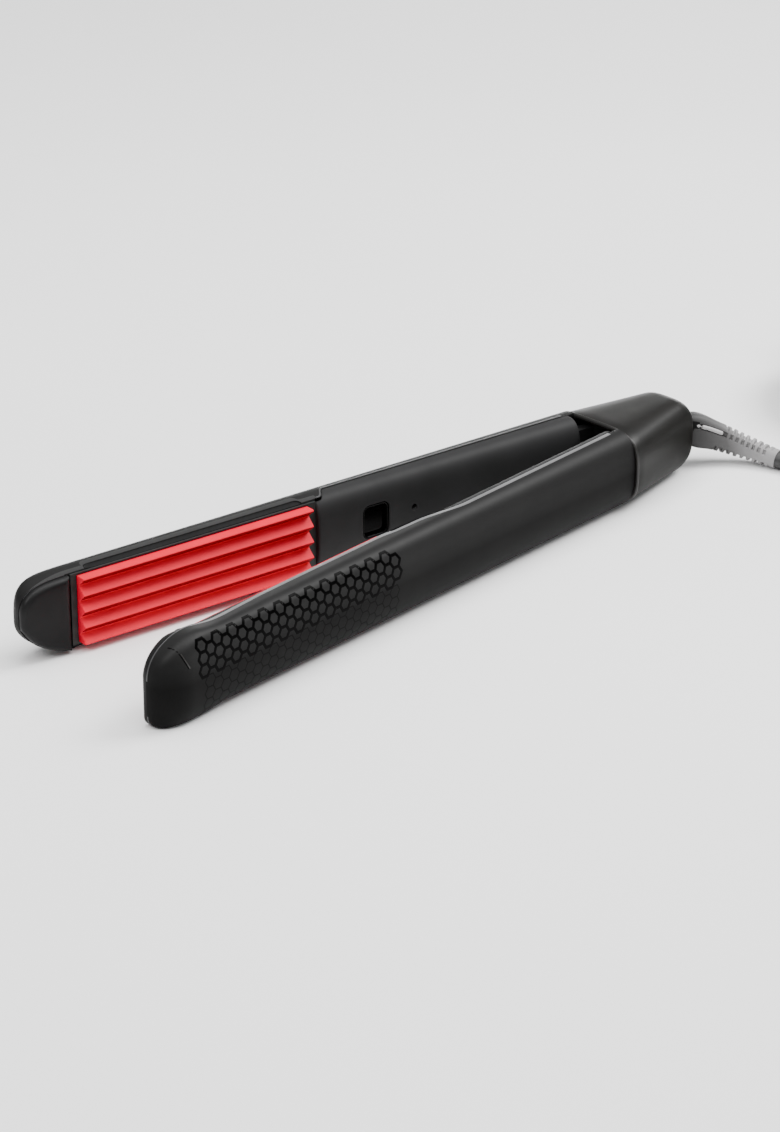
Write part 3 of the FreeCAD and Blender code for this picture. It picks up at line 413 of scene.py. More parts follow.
def B(s):
    b = B100 + BK * (s - 100.0)
    bl = BOW_R * 1.25
    if s < TIP_S + bl:
        c = 1 - (s - TIP_S) / bl
        b = b - BOW_R + BOW_R * math.sqrt(max(0.0, 1 - c * c))
    return b


def UW(s):
    full = B100 + BK * (s - 100.0)
    return U_RIM + (U_WIDE - U_RIM) * (B(s) - U_RIM) / (full - U_RIM)


def arm(side, s, u, z):
    """A point of an arm, given in its closed position, in the row frame at rest."""
    x = (s * REACH[side] if s < 0.0 else s) - SH
    return row(x * math.cos(TH) + u * math.sin(TH), side * (-x * math.sin(TH) + u * math.cos(TH)), z)


def half_outline(s, off, ur, side, sg):
    """(u, z) from the rim level ur round to the middle of the back, moved inwards by off."""
    ww = max(0.4, W(s, side, sg) - off)
    rim = max(0.3, ww - 0.42 * W(s, side, sg) / W100)
    uw, bb = UW(s), B(s) - off
    pts = []
    if ur < uw - 0.01:
        f0 = (ur - U_RIM) / max(0.01, uw - U_RIM)
        for i in range(5):
            f = f0 + (1 - f0) * i / 5
            pts.append((U_RIM + (uw - U_RIM) * f, rim + (ww - rim) * f))
    q = quarter(ww, max(0.5, bb - uw), SE, 60)
    pts += [(uw + a, z) for z, a in q if uw + a >= ur - 1e-6]
    if pts[0][0] > ur + 1e-6:
        pts.insert(0, (ur, pts[0][1]))
    return pts


def shell_pieces(side, stations, outer, inner, s_cav, n, last=None, edge=0.42):
    """A moulded half: solid up to s_cav, then hollow. outer and inner give half outlines from the rim."""
    verts, faces = [], []
    index = {}

    def add(key, p):
        index[key] = len(verts)
        verts.append(p)

    corner = [(0.0, 1.0), (0.13, 0.42), (0.42, 0.13), (1.0, 0.0)]
    for i, s in enumerate(stations):
        for sg in (1, -1):
            o = outer(s, sg)
            total = sum(math.dist(a, b) for a, b in zip(o[:-1], o[1:]))
            e = min(edge if s > -3.0 else edge * 0.4, total * 0.12)
            body_pts = resample(o, n, e)
            (u0, z0), (u1, z1) = o[0], body_pts[0]
            half = [(u0 + c * (u1 - u0), z1 - d * e) for c, d in corner[:-1]] + body_pts
            inn = resample(inner(s, sg), len(half) - 1)
            q = (u0, max(0.15, min(inn[0][1], half[0][1] - 0.2)))
            for j, (u, z) in enumerate(half):
                if sg < 0 and j == len(half) - 1:
                    continue
                ss = s if last is None or i < len(stations) - 1 else last(u)
                add((i, "o", sg, j), arm(side, ss, u, sg * z))
            for j, (u, z) in enumerate(inn):
                if sg < 0 and j == len(inn) - 1:
                    continue
                if j == 0:
                    u, z = q
                ss = s if last is None or i < len(stations) - 1 else last(u)
                add((i, "i", sg, j), arm(side, ss, u, sg * z))
    m = len(half)

    def idx(i, kind, sg, j):
        if j == m - 1:
            sg = 1
        return index[(i, kind, sg, j)]

    def path(i, kind):
        return [idx(i, kind, 1, j) for j in range(m)] + [idx(i, kind, -1, j) for j in range(m - 2, -1, -1)]

    for i in range(len(stations) - 1):
        a, b = path(i, "o"), path(i + 1, "o")
        for j in range(len(a) - 1):
            faces.append((a[j], a[j + 1], b[j + 1], b[j]))
        for sg in (1, -1):
            faces.append((idx(i, "o", sg, 0), idx(i + 1, "o", sg, 0), idx(i + 1, "i", sg, 0), idx(i, "i", sg, 0)))
        if stations[i] < s_cav - 1e-6:
            faces.append((idx(i, "i", 1, 0), idx(i + 1, "i", 1, 0), idx(i + 1, "i", -1, 0), idx(i, "i", -1, 0)))
        else:
            a, b = path(i, "i"), path(i + 1, "i")
            for j in range(len(a) - 1):
                faces.append((a[j], b[j], b[j + 1], a[j + 1]))
            if stations[i] < s_cav + 1e-6:
                faces.append(tuple(a))
    faces.append(tuple(path(0, "o") + [idx(0, "i", -1, 0), idx(0, "i", 1, 0)]))
    a, b = path(len(stations) - 1, "o"), path(len(stations) - 1, "i")
    for j in range(len(a) - 1):
        faces.append((a[j], a[j + 1], b[j + 1], b[j]))
    return verts, faces


def rim_level(s, side):
    if side < 0:
        return U_RIM + 1.1 * smooth((s + 1.0) / 8.0) - 1.08 * smooth((s - 8.0) / 26.0) + 1.28 * smooth((s - 86.0) / 13.0) + 3.48 * smooth((s - 103.0) / 24.0)
    r0, r1 = RIMS[side]
    u = U_RIM + (U_WIDE - U_RIM) * smooth((s - r0) / (r1 - r0))
    e = min(s - SHIELD_S0, SHIELD_S1 - s)
    if e > 0:
        r = 2.0
        d = NOTCH_U - U_RIM
        u = U_RIM + (d if e >= r else d - r + math.sqrt(r * r - (r - e) ** 2))
    return u


def shell_stations(side):
    r0, r1 = RIMS[side]
    st = [-21.0, -20.97, -20.88, -20.7, -20.4, -20.0, -19.4, -18.7, -17.8, -16.8, -15.8, -15.0, -14.0, -12.6, -11.0,
          -9.75, -8.0, -6.0, -4.0, -2.0, -1.0, 0.0, 1.5, 3.0, 3.55]
    for c in (0.02, 0.1, 0.25, 0.5, 0.9, 1.4, 2.0, 3.0, 5.0):
        st.append(SHIELD_S0 + c)
    st += [12, 20, 30, 40, 50, 60, 70, 78, 83]
    for c in (5.0, 3.0, 2.0, 1.4, 0.9, 0.5, 0.25, 0.1, 0.02):
        st.append(SHIELD_S1 - c)
    st += [88.45, 89.5, 91.0, 93.0, 94.8]
    st += [r0 + (r1 - r0) * i / 14 for i in range(15)]
    st += [102, 106, 112, 120, 132, 140, 150, 160, 170, 180, 190, 198, 204, 210]
    return sorted(set(round(v, 4) for v in st))


def end_station(u):
    return SH + (END_X - u * math.sin(TH)) / math.cos(TH)


for side, name in ((1, "rear"), (-1, "front")):
    v, f = shell_pieces(side, shell_stations(side), lambda s, sg: half_outline(s, 0.0, rim_level(s, side), side, sg),
                        lambda s, sg: half_outline(s, WALL, rim_level(s, side), side, sg), -15.0, 30, end_station, 0.6)
    mesh(name + "_shell_skin", v, f, M["shell"], name + "_arm", [name + "_outer_shell"])


def line_level(s, side):
    """Level of the painted highlight line: along the rim, passing the notch's ends in a smooth sweep on the front arm.
    """
    if side > 0 or s < -12.0 or s > 8.0:
        return rim_level(s, side)
    return U_RIM + 1.1 * smooth((s + 12.0) / 18.0)


def painted_highlight_band(side, sgs, s_from, s_to, d0, d1, lift, depth, taper=(0.0, 0.0)):
    """Narrow band of painted highlight lying on an arm's outer surface beside the rim, from d0 to d1 along the section.
    """
    parts = []
    for sg in sgs:
        loops = []
        for s in shell_stations(side):
            if not s_from <= s <= s_to:
                continue
            w1 = d1
            if taper[0] and s - s_from < taper[0]:
                w1 = d0 + 0.06 + (d1 - d0 - 0.06) * (s - s_from) / taper[0]
            if taper[1] and s_to - s < taper[1]:
                w1 = d0 + 0.06 + (d1 - d0 - 0.06) * (s_to - s) / taper[1]
            o = half_outline(s, 0.0, max(rim_level(s, side), line_level(s, side)), side, sg)
            fine = resample(o, 160)
            total = sum(math.dist(a, b) for a, b in zip(fine[:-1], fine[1:]))
            out, low = [], []
            ahead = 0.06 * smooth((-14.0 - s) / 5.0)
            for k in range(5):
                d = min(d0 + (w1 - d0) * k / 4, total * (0.2 + 0.06 * k))
                j = min(158, int(d / total * 160))
                f = min(1.0, max(0.0, d / total * 160 - j))
                (ua, za), (ub, zb) = fine[j], fine[j + 1]
                ln = math.hypot(ub - ua, zb - za)
                nu, nz = -(zb - za) / ln, (ub - ua) / ln
                u, z = ua + f * (ub - ua), za + f * (zb - za)
                h = lift if 0 < k < 4 else 0.0
                out.append((s - ahead, u + nu * h, z + nz * h))
                low.append((s + ahead * 3, u - nu * depth, max(0.05, z - nz * depth)))
            loops.append([arm(side, sv, u, sg * z) for sv, u, z in out + low[::-1]])
        parts.append(loft(loops))
    return join(parts)


# light bands along the rims and the front tip: painted highlight on the rounded edges
v, f = painted_highlight_band(-1, (1,), -6.1, 209.0, 0.06, 1.50, 0.03, 0.15, (16.0, 0.0))
mesh("front_rim_painted_highlight", v, f, M["rim"], "front_arm", sharp=50)
v, f = join([painted_highlight_band(-1, (1,), -20.97, 4.0, 0.08, 0.55, 0.03, 0.12, (0.0, 8.0)), painted_highlight_band(-1, (-1,), -20.97, -8.0, 0.08, 0.55, 0.03, 0.12, (0.0, 6.0))])
mesh("front_tip_painted_highlight", v, f, M["rim_highlight_dim"], "front_arm", sharp=50)
v, f = painted_highlight_band(1, (1,), -16.9, 95.0, 0.10, 2.3, 0.02, 0.12, (12.0, 0.0))
mesh("rear_rim_painted_highlight_band", v, f, M["rim_highlight_soft"], "rear_arm", sharp=50)
v, f = painted_highlight_band(1, (1,), 94.8, 209.0, 0.10, 1.0, 0.03, 0.15)
mesh("rear_rim_painted_highlight", v, f, M["rim_highlight_dim"], "rear_arm", sharp=50)


# ------------------------------------------------------------------ inner handle covers
def cover_level(s, side):
    if side < 0:
        return min(U_WIDE - 0.04, rim_level(s, side) - 0.05)
    r0, r1 = RIMS[side]
    return U_RIM - 0.05 + (U_WIDE - 0.04 - U_RIM + 0.05) * smooth((s - r0 - 0.05) / (r1 - r0))


def cover_half(s, off, side):
    """(u, z) from the cover's lower edge round to the middle of its crown."""
    w = W(s) - 0.15 - off
    q = quarter(w, U_WIDE - CROWN - off, 3.2 if side > 0 else 2.2, 60)
    lim = cover_level(s, side)
    pts = [(U_WIDE - a, z) for z, a in q]
    out = [p for p in pts if p[0] <= lim + 1e-9]
    if out[0][0] < lim - 1e-6:
        k = pts.index(out[0])
        if k > 0:
            (ua, za), (ub, zb) = pts[k - 1], pts[k]
            f = (lim - ua) / (ub - ua)
            out.insert(0, (lim, za + f * (zb - za)))
        else:
            out.insert(0, (lim, out[0][1]))
    return out


def cover_outer(s, side):
    r = 0.7
    e = min(s - COVER_S0, COVER_S1 - s)
    off = 0.0 if e >= r else r - math.sqrt(max(0.0, r * r - (r - e) ** 2))
    return cover_half(s, off, side)


def inner_cover_mesh(side, name):
    st = [COVER_S0 + c for c in (0.0, 0.03, 0.12, 0.3, 0.5, 0.7)]
    r0, r1 = RIMS[side]
    st += [r0 + 0.05 + (r1 - r0) * i / 12 for i in range(13)]
    st += [96.9, 101.5, 103, 105, 107, 109, 111, 113, 115, 117, 119, 121, 123, 126, 130, 136, 144, 152, 160, 168, 176, 184, 192, 199, 203]
    st += [COVER_S1 - c for c in (0.7, 0.5, 0.3, 0.12, 0.03, 0.0)]
    st = sorted(set(round(v, 4) for v in st))
    v, f = shell_pieces(side, st, lambda s, sg: cover_outer(s, side), lambda s, sg: cover_half(s, COVER_T, side), 96.9, 26, None, 0.25)
    return v, f


def cover_seam(side, sg):
    """Dark joint line between a cover and its shell."""
    loops = []
    for s in [COVER_S0 + 0.3] + [v for v in shell_stations(side) if COVER_S0 + 1 < v < COVER_S1 - 1] + [COVER_S1 - 0.3]:
        lim = cover_level(s, side)
        z = W(s) - 0.15
        loops.append([arm(side, s, lim + du, sg * (z + dz)) for du, dz in ((0.30, -0.9), (0.30, -0.16), (-0.35, 0.025), (-0.40, 0.0), (-0.40, -0.9))])
    return loft(loops)


for side, name in ((1, "rear"), (-1, "front")):
    v, f = join([cover_seam(side, 1), cover_seam(side, -1)])
    mesh(name + "_cover_joint", v, f, M["pattern"], name + "_arm", sharp=60)


def cutter(name, verts, faces):
    ob = mesh(name, verts, faces, M["inner"])
    return ob


def apply_cut(ob, tools):
    for t in tools:
        mod = ob.modifiers.new("cut", "BOOLEAN")
        mod.operation = "DIFFERENCE"
        mod.solver = "EXACT"
        mod.object = t
    dg = bpy.context.evaluated_depsgraph_get()
    me = bpy.data.meshes.new_from_object(ob.evaluated_get(dg))
    ob.modifiers.clear()
    ob.data = me
    for t in tools:
        bpy.data.objects.remove(t)
    bm = bmesh.new()
    bm.from_mesh(me)
    for fa in bm.faces:
        fa.smooth = True
    for e in bm.edges:
        if len(e.link_faces) == 2:
            e.smooth = e.calc_face_angle(0.0) < math.radians(38)
    bm.to_mesh(me)
    bm.free()


def rounded_rect(cx, cz, lx, lz, r, n=6):
    pts = []
    for qx, qz, a0 in ((1, 1, 0), (-1, 1, 90), (-1, -1, 180), (1, -1, 270)):
        for i in range(n + 1):
            a = math.radians(a0 + 90 * i / n)
            pts.append((cx + qx * (lx / 2 - r) + r * math.cos(a), cz + qz * (lz / 2 - r) + r * math.sin(a)))
    return pts


for side, name in ((1, "rear"), (-1, "front")):
    v, f = inner_cover_mesh(side, name)
    ob = mesh(name + "_cover_skin", v, f, M["inner"], name + "_arm", [name + "_inner_cover"])
    if name == "rear":
        loops = [[arm(1, s, u, z) for s, z in rounded_rect(WIN_S, WIN_Z, WIN_L + g, WIN_H + g, 2.7 + g / 2)]
                 for u, g in ((-3.0, 0.9), (0.74, 0.45), (0.86, 0.16), (1.05, 0.0), (5.5, 0.0))]
        t1 = cutter("cut_window", *loft(loops))
        ring = [[arm(1, LED_S + r * math.cos(a), u, LED_Z + r * math.sin(a)) for a in [2 * math.pi * i / 32 for i in range(32)]]
                for u, r in ((-3.0, LED_R + 0.5), (0.75, LED_R + 0.14), (0.9, LED_R + 0.03), (5.5, LED_R + 0.03))]
        t2 = cutter("cut_lamp", *loft(ring))
        apply_cut(ob, [t1, t2])
        put(ob, M["inner"])


# ------------------------------------------------------------------ tip covers
def tip_cover_mesh(side):
    n = 26
    s0, s1 = TIP_S + 0.15, -3.1
    edge = {1: [], -1: []}
    for sg in (1, -1):
        for i in range(n + 1):
            v = s1 + (s0 - s1) * math.sin(math.pi / 2 * i / n)
            z = W(v, side, sg) - (0.25 + (1.1 * smooth((v + 12.0) / 9.0) if sg > 0 else 0.0) if side < 0 else 0.85)
            if z > 2.6:
                edge[sg].append((v, sg * z))
    (va, za), (vb, zb) = edge[1][-1], edge[-1][-1]
    loop = edge[1] + [(min(s0, va, vb) if 0.2 < k < 0.8 else (va if k < 0.5 else vb) * 0.3 + s0 * 0.7, za + (zb - za) * k) for k in (0.15, 0.38, 0.62, 0.85)]
    loop += list(reversed(edge[-1]))
    za, zb = edge[1][0][1], edge[-1][0][1]
    loop = loop + [(s1, zb + (za - zb) * i / 12) for i in range(1, 12)]
    m = len(loop)
    cx, cz = -10.5, 0.0

    def inset(d):
        out = []
        for i, (a, b) in enumerate(loop):
            pa, pb = loop[i - 1], loop[(i + 1) % m]
            tx, tz = pb[0] - pa[0], pb[1] - pa[1]
            ln = math.hypot(tx, tz)
            nx, nz = -tz / ln, tx / ln
            if nx * (cx - a) + nz * (cz - b) < 0:
                nx, nz = -nx, -nz
            out.append((a + nx * d, b + nz * d))
        return out

    r = 2.0 if side < 0 else 1.9
    loops = [[(U_RIM - 0.03, p) for p in inset(0.0)], [(0.9 + r, p) for p in inset(0.0)]]
    for k in (10, 20, 30, 40, 50, 60, 70, 80, 90):
        a = math.radians(k)
        d = r * (1 - math.cos(a))
        loops.append([(0.9 + r - r * math.sin(a) - 0.0, p) for p in inset(d)])
    top = loops[-1]
    for k in (0.15, 0.35, 0.6, 0.85, 1.0):
        ring = [(u - 0.12 * math.sin(math.pi / 2 * k), (cx + (p[0] - cx) * (1 - k), cz + (p[1] - cz) * (1 - k))) for u, p in top]
        loops.append(ring)
    return loft([[arm(side, p[0], u, p[1]) for u, p in lp] for lp in loops], cap1=False)


def tip_painted_highlight():
    """Narrow band of painted highlight round the rear arm's tip, on the end of the shell's wall."""
    n = 40
    vs = [-4.0 + (TIP_S + 0.03 + 4.0) * math.sin(math.pi / 2 * i / n) for i in range(n + 1)]
    path = [(v, W(v, 1, 1)) for v in vs] + [(v, -W(v, 1, -1)) for v in reversed(vs)]
    path = resample(path, 90)
    loops = []
    for i, (a, b) in enumerate(path):
        pa, pb = path[max(0, i - 1)], path[min(len(path) - 1, i + 1)]
        tx, tz = pb[0] - pa[0], pb[1] - pa[1]
        ln = math.hypot(tx, tz)
        nx, nz = -tz / ln, tx / ln
        loops.append([arm(1, a + nx * d, u, b + nz * d) for d, u in ((0.44, U_RIM + 0.15), (0.46, U_RIM - 0.03), (0.62, U_RIM - 0.05), (0.80, U_RIM - 0.02), (0.84, U_RIM + 0.15))])
    return loft(loops)


# painted highlight round the rear arm's tip
v, f = tip_painted_highlight()
mesh("rear_tip_painted_highlight", v, f, M["rim_highlight_dim"], "rear_arm", sharp=50)
for side, name in ((1, "rear"), (-1, "front")):
    v, f = tip_cover_mesh(side)
    mesh(name + "_tip_skin", v, f, M["tipin"], name + "_arm", [name + "_tip_cover"], sharp=30)


# ------------------------------------------------------------------ ridged plates
def plate_mesh(side, offset):
    step = PITCH / 2
    zs = [-PLATE_HW] + [k * step for k in range(-10, 11) if -PLATE_HW < k * step < PLATE_HW] + [PLATE_HW]

    def wave(zv):
        ph = abs((zv / PITCH - offset) % 1.0)
        return 1 - min(ph, 1 - ph) * 2

    prof = []
    for i, zv in enumerate(zs):
        if i in (0, len(zs) - 1):
            prof.append((YH - RIDGE * wave(zv), zv))
            continue
        top = wave(zv) > 0.5
        r = 0.24 if top else 0.12
        for d in (-1.0, -0.55, 0.0, 0.55, 1.0):
            dd = d * r
            lift = (1 - abs(d)) * r * 0.42
            u = YH - RIDGE * wave(zv + dd)
            prof.append((u + (lift if top else -lift), zv + dd))
    loop = [(YH + BASE_T, -PLATE_HW)] + [(YH + 0.3, -PLATE_HW)] + prof + [(YH + 0.3, PLATE_HW), (YH + BASE_T, PLATE_HW)]
    loops = []
    for s, k in ((0.0, 0.28), (0.08, 0.1), (0.3, 0.0), (10, 0), (30, 0), (60, 0), (80, 0), (PLATE_L - 0.3, 0.0), (PLATE_L - 0.08, 0.1), (PLATE_L, 0.28)):
        loops.append([arm(side, s, min(YH + BASE_T, u + k), z) for u, z in loop])
    parts = [loft(loops)]
    for zc in (7.4, -7.4):
        rail = [[arm(side, s, u, zc + dz) for u, dz in ((YH + BASE_T - 0.1, -0.8), (6.4, -0.8), (6.4, 0.8), (YH + BASE_T - 0.1, 0.8))] for s in (3.2, 86.8)]
        parts.append(loft(rail))
    return join(parts)


for side, name, off in ((1, "rear", 0.0), (-1, "front", 0.5)):
    v, f = plate_mesh(side, off)
    mesh(name + "_plate_skin", v, f, M["plate"], name + "_arm", [name + "_crimping_plate"], sharp=11)
    # dark red strips under each crest: painted shade on the down-facing flanks of the ridges
    crest_shade_strips = []
    for k in range(-3, 4):
        zc = (k + off) * PITCH
        if not -PLATE_HW + 1.2 < zc < PLATE_HW + 0.05:
            continue
        m = RIDGE / (PITCH / 2)
        end = min(2.2, zc + PLATE_HW - 0.1)
        sect = [(-RIDGE + 0.10, -0.08, 0.05), (-RIDGE + 0.40 * m, -0.40, 0.03), (-RIDGE + end * m, -end, 0.02)]
        up = [(YH + du - h * 0.68, zc + dz - h * 0.73) for du, dz, h in sect]
        low = [(YH + du + 0.12, zc + dz + 0.08) for du, dz, h in reversed(sect)]
        crest_shade_strips.append(loft([[arm(side, sv, u, z) for u, z in up + low] for sv in (0.15, 20.0, 45.0, 70.0, PLATE_L - 0.15)]))
    v, f = join(crest_shade_strips)
    mesh(name + "_plate_painted_crest_shade", v, f, M["redline"], name + "_arm", sharp=40)


# ------------------------------------------------------------------ button, its surround
def rr_loops(side, rows, r):
    return [[arm(side, s, u, z) for s, z in rounded_rect(WIN_S, WIN_Z, WIN_L + g, WIN_H + g, max(0.25, r + g / 2))] for u, g in rows]


bez = rr_loops(1, [(5.2, 2.0), (4.25, 2.0), (4.2, -0.12), (1.35, -0.12), (1.2, -0.2), (1.12, -0.4), (1.1, -0.9), (1.14, -1.3), (1.3, -1.6), (1.6, -1.75), (2.2, -1.8), (5.2, -1.8)], 2.7)
v, f = loft(bez + [bez[0]], cap0=False, cap1=False)
mesh("button_surround", v, f, M["gloss"], "rear_arm", ["button_bezel"])

g0 = -2 * (0.9 + 0.3)
rows = [(5.4, g0), (3.2, g0)]
for k in (15, 30, 45, 60, 75, 90):
    a = math.radians(k)
    rows.append((3.2 - 0.6 * math.sin(a), g0 - 1.2 * (1 - math.cos(a))))
rows += [(2.61, g0 - 2.4), (2.62, g0 - 4.0), (2.625, g0 - 5.6)]
v, f = loft(rr_loops(1, rows, 2.7))
stem = [[arm(1, WIN_S + 1.2 * math.cos(a), u, WIN_Z + 1.2 * math.sin(a)) for a in [2 * math.pi * i / 24 for i in range(24)]] for u in (5.35, 6.05)]
v, f = join([(v, f), loft(stem)])
mesh("button_cap", v, f, M["gloss"], "button", ["power_button"])

lens = [[arm(1, LED_S + r * math.cos(a), u, LED_Z + r * math.sin(a)) for a in [2 * math.pi * i / 32 for i in range(32)]]
        for u, r in ((7.65, LED_R), (1.05, LED_R), (0.92, LED_R * 0.93), (0.84, LED_R * 0.72), (0.80, LED_R * 0.35))]
v, f = loft(lens)
mesh("lamp_dome", v, f, M["lens"], "rear_arm", ["led_lens"])


# ------------------------------------------------------------------ hinge housing
def cap_loop(x, off, less_b=0.0, less_c=0.0, n=24):
    b = CAP_B0 - CAP_BK * (x - CAP_X0) - off - less_b
    q = quarter(b, CAP_C - off - less_c, 3.6, n)
    full = q + [(-y, z) for y, z in reversed(q[:-1])]
    full = full + [(y, -z) for y, z in reversed(full[1:-1])]
    return full


def cap_end(end, off, side_r, steps):
    """Loops of the housing's rounded rear end, from its straight part to the end face."""
    xc = CAP_X1 - CAP_RC
    out = []
    for i in range(steps + 1):
        a = math.pi / 2 * i / steps
        x = xc + (end - xc) * math.sin(a)
        d = max(0.0, (x - (end - side_r)) / side_r)
        out.append((x, cap_loop(x, off, side_r * (1 - math.sqrt(max(0.0, 1 - d * d))), (CAP_RC - off) * (1 - math.cos(a)))))
    return out


def housing_mesh():
    hole = 6.48
    rows = []
    inner_end = CAP_X1 - 3.0
    flange = 7.75
    # inside, from the end wall to the mouth
    inside = cap_end(inner_end - 0.9, CAP_WALL, CAP_RB - CAP_WALL, 12)
    angles = [math.atan2(z, y) for y, z in inside[-1][1]]
    rows.append([row(inner_end, flange * math.cos(a), flange * math.sin(a)) for a in angles])
    rows.append([row(inner_end - 0.85, flange * math.cos(a), flange * math.sin(a)) for a in angles])
    inside = [q for q in inside if max(abs(z) for y, z in q[1]) > flange + 0.3 and max(abs(y) for y, z in q[1]) > flange + 0.3]
    for x, lp in reversed(inside):
        rows.append([row(min(x, inner_end - 0.9), y, z) for y, z in lp])
    for x, off in ((8.0, CAP_WALL), (0.0, CAP_WALL), (-10.0, CAP_WALL), (CAP_X0 + 0.6, CAP_WALL), (CAP_X0 + 0.12, CAP_WALL - 0.12), (CAP_X0, CAP_WALL - 0.4)):
        rows.append([row(x, y, z) for y, z in cap_loop(x, off)])
    for x, off in ((CAP_X0, 0.8), (CAP_X0 + 0.06, 0.5), (CAP_X0 + 0.24, 0.24), (CAP_X0 + 0.5, 0.07), (CAP_X0 + 0.85, 0.0), (-12.0, 0.0), (-6.0, 0.0), (0.0, 0.0), (6.0, 0.0), (12.0, 0.0)):
        rows.append([row(x, y, z) for y, z in cap_loop(x, off)])
    for x, lp in cap_end(CAP_X1, 0.0, CAP_RB, 18):
        rows.append([row(x, y, z) for y, z in lp])
        last = lp
    circle = []
    for y, z in last:
        a = math.atan2(z, y)
        circle.append((math.cos(a), math.sin(a)))
    for k in (0.5, 0.85):
        rows.append([row(CAP_X1, y + (cy * hole - y) * k, z + (cz * hole - z) * k) for (y, z), (cy, cz) in zip(last, circle)])
    for x, r in ((CAP_X1, hole + 0.3), (CAP_X1 - 0.1, hole + 0.08), (CAP_X1 - 0.35, hole), (inner_end, hole)):
        rows.append([row(x, cy * r, cz * r) for cy, cz in circle])
    v, f = loft(rows, cap0=False, cap1=False)
    n = len(rows[0])
    # inner end wall, from the hole back to the first row
    o = (len(rows) - 1) * n
    for j in range(n):
        k = (j + 1) % n
        f.append((o + j, o + k, k, j))
    parts = [(v, f)]
    inner = CAP_C - CAP_WALL
    for z0, z1 in ((9.1, inner + 0.6), (-inner - 0.6, -9.1)):
        ring = [[row(r * math.cos(a), r * math.sin(a), z) for a in [2 * math.pi * i / 40 for i in range(40)]]
                for z, r in ((z0, 2.02), (z0, 4.3), (z1, 4.3), (z1, 2.02), (z0, 2.02))]
        parts.append(loft(ring, cap0=False, cap1=False))
    for sg in (1, -1):
        y0, y1 = (9.95, 18.6) if sg > 0 else (-18.6, -9.95)
        blk = [[row(x, y, z) for y, z in ((y0, -3), (y1, -3), (y1, 3), (y0, 3))] for x in (-14, -10)]
        parts.append(loft(blk))
    return join(parts)


v, f = housing_mesh()
mesh("housing_skin", v, f, M["housing"], "hinge_root", ["hinge_housing"], sharp=40)

# housing's mouth lip, coloured lighter as a painted highlight on its rounded edge
lip = []
for x, off in ((CAP_X0 + 0.05, 1.30), (CAP_X0 - 0.04, 1.22), (CAP_X0 - 0.05, 0.80), (CAP_X0 + 0.01, 0.47), (CAP_X0 + 0.20, 0.20), (CAP_X0 + 0.47, 0.02),
               (CAP_X0 + 0.62, -0.02), (CAP_X0 + 0.72, 0.06)):
    lip.append([row(x, y, z) for y, z in cap_loop(x, off)])
v, f = loft(lip, cap0=False, cap1=False)
mesh("housing_lip", v, f, M["lip"], "hinge_root", sharp=60)

SW_R, SW_B = 6.4, 5.4
ring = [[row(x, r * math.cos(a), r * math.sin(a)) for a in [2 * math.pi * i / 64 for i in range(64)]]
        for x, r in ((20.4, SW_B), (20.4, SW_R + 1.0), (21.2, SW_R + 1.0), (21.2, SW_R), (24.9, SW_R), (25.15, SW_R - 0.07), (25.3, SW_R - 0.3),
                     (25.3, SW_B + 0.3), (25.15, SW_B + 0.07), (24.9, SW_B), (20.4, SW_B))]
v, f = loft(ring, cap0=False, cap1=False)
mesh("swivel_ring_skin", v, f, M["component"], "cord_swivel", ["swivel_ring"])

# ------------------------------------------------------------------ cord boot
BOOT = [
    (20.6, 0.0, 0.0, 4.35, 3.8),
    (23.0, 0.0, 0.0, 4.4, 3.85),
    (25.6, -0.25, -0.1, 4.15, 3.65),
    (29.0, -2.75, -1.3, 5.75, 4.5),
    (31.9, -5.4, -2.75, 5.95, 4.5),
    (35.4, -8.6, -4.3, 5.2, 4.35),
    (39.2, -12.4, -6.3, 4.75, 4.15),
    (42.1, -16.0, -7.95, 4.4, 4.0),
    (44.3, -19.7, -9.2, 4.05, 3.85),
    (45.9, -24.1, -10.2, 3.7, 3.65),
    (47.1, -28.9, -10.86, 3.36, 3.36),
]
BOOT_ROLL = 16.0


def catmull(rows, per):
    """Smooth rows of numbers through the given ones."""
    out = []
    n = len(rows)
    for i in range(n - 1):
        p0, p1, p2, p3 = rows[max(0, i - 1)], rows[i], rows[i + 1], rows[min(n - 1, i + 2)]
        for k in range(per):
            t = k / per
            out.append(tuple(0.5 * (2 * b + (c - a) * t + (2 * a - 5 * b + 4 * c - d) * t * t + (3 * b - a - 3 * c + d) * t ** 3)
                             for a, b, c, d in zip(p0, p1, p2, p3)))
    out.append(tuple(rows[-1]))
    return out


def boot_line(step):
    rows = [(x, y, z, h, w, float(i)) for i, (x, y, z, h, w) in enumerate(BOOT)]
    fine = catmull(rows, 40)
    length = [0.0]
    for a, b in zip(fine[:-1], fine[1:]):
        length.append(length[-1] + math.dist(a[:3], b[:3]))
    n = int(length[-1] / step)
    out = []
    j = 0
    for i in range(n + 1):
        want = length[-1] * i / n
        while j < len(fine) - 2 and length[j + 1] < want:
            j += 1
        f = (want - length[j]) / max(1e-9, length[j + 1] - length[j])
        out.append((want,) + tuple(a + f * (b - a) for a, b in zip(fine[j], fine[j + 1])))
    return out


def boot_frame(pts, i):
    a = Vector(pts[max(0, i - 1)][1:4])
    b = Vector(pts[min(len(pts) - 1, i + 1)][1:4])
    d = (b - a).normalized()
    if pts[i][6] < 0.5:
        d = Vector((1, 0, 0))
    side = d.cross(Vector((0, 0, 1))).normalized()
    up = side.cross(d).normalized()
    roll = math.radians(BOOT_ROLL) * smooth((pts[i][6] - 1) / 4.0)
    return side * math.cos(roll) + up * math.sin(roll), up * math.cos(roll) - side * math.sin(roll)


RIB_L0, RIB_PITCH, RIB_END = 19.6, 2.45, 42.0
CH_V, CH_HW, CH_D = 0.36, 0.85, 0.75   # channel: place on the side (fraction of the half height), half width, depth
BAR_L0, BAR_L1 = 12.6, 20.8
HOLE_L0 = 21.8


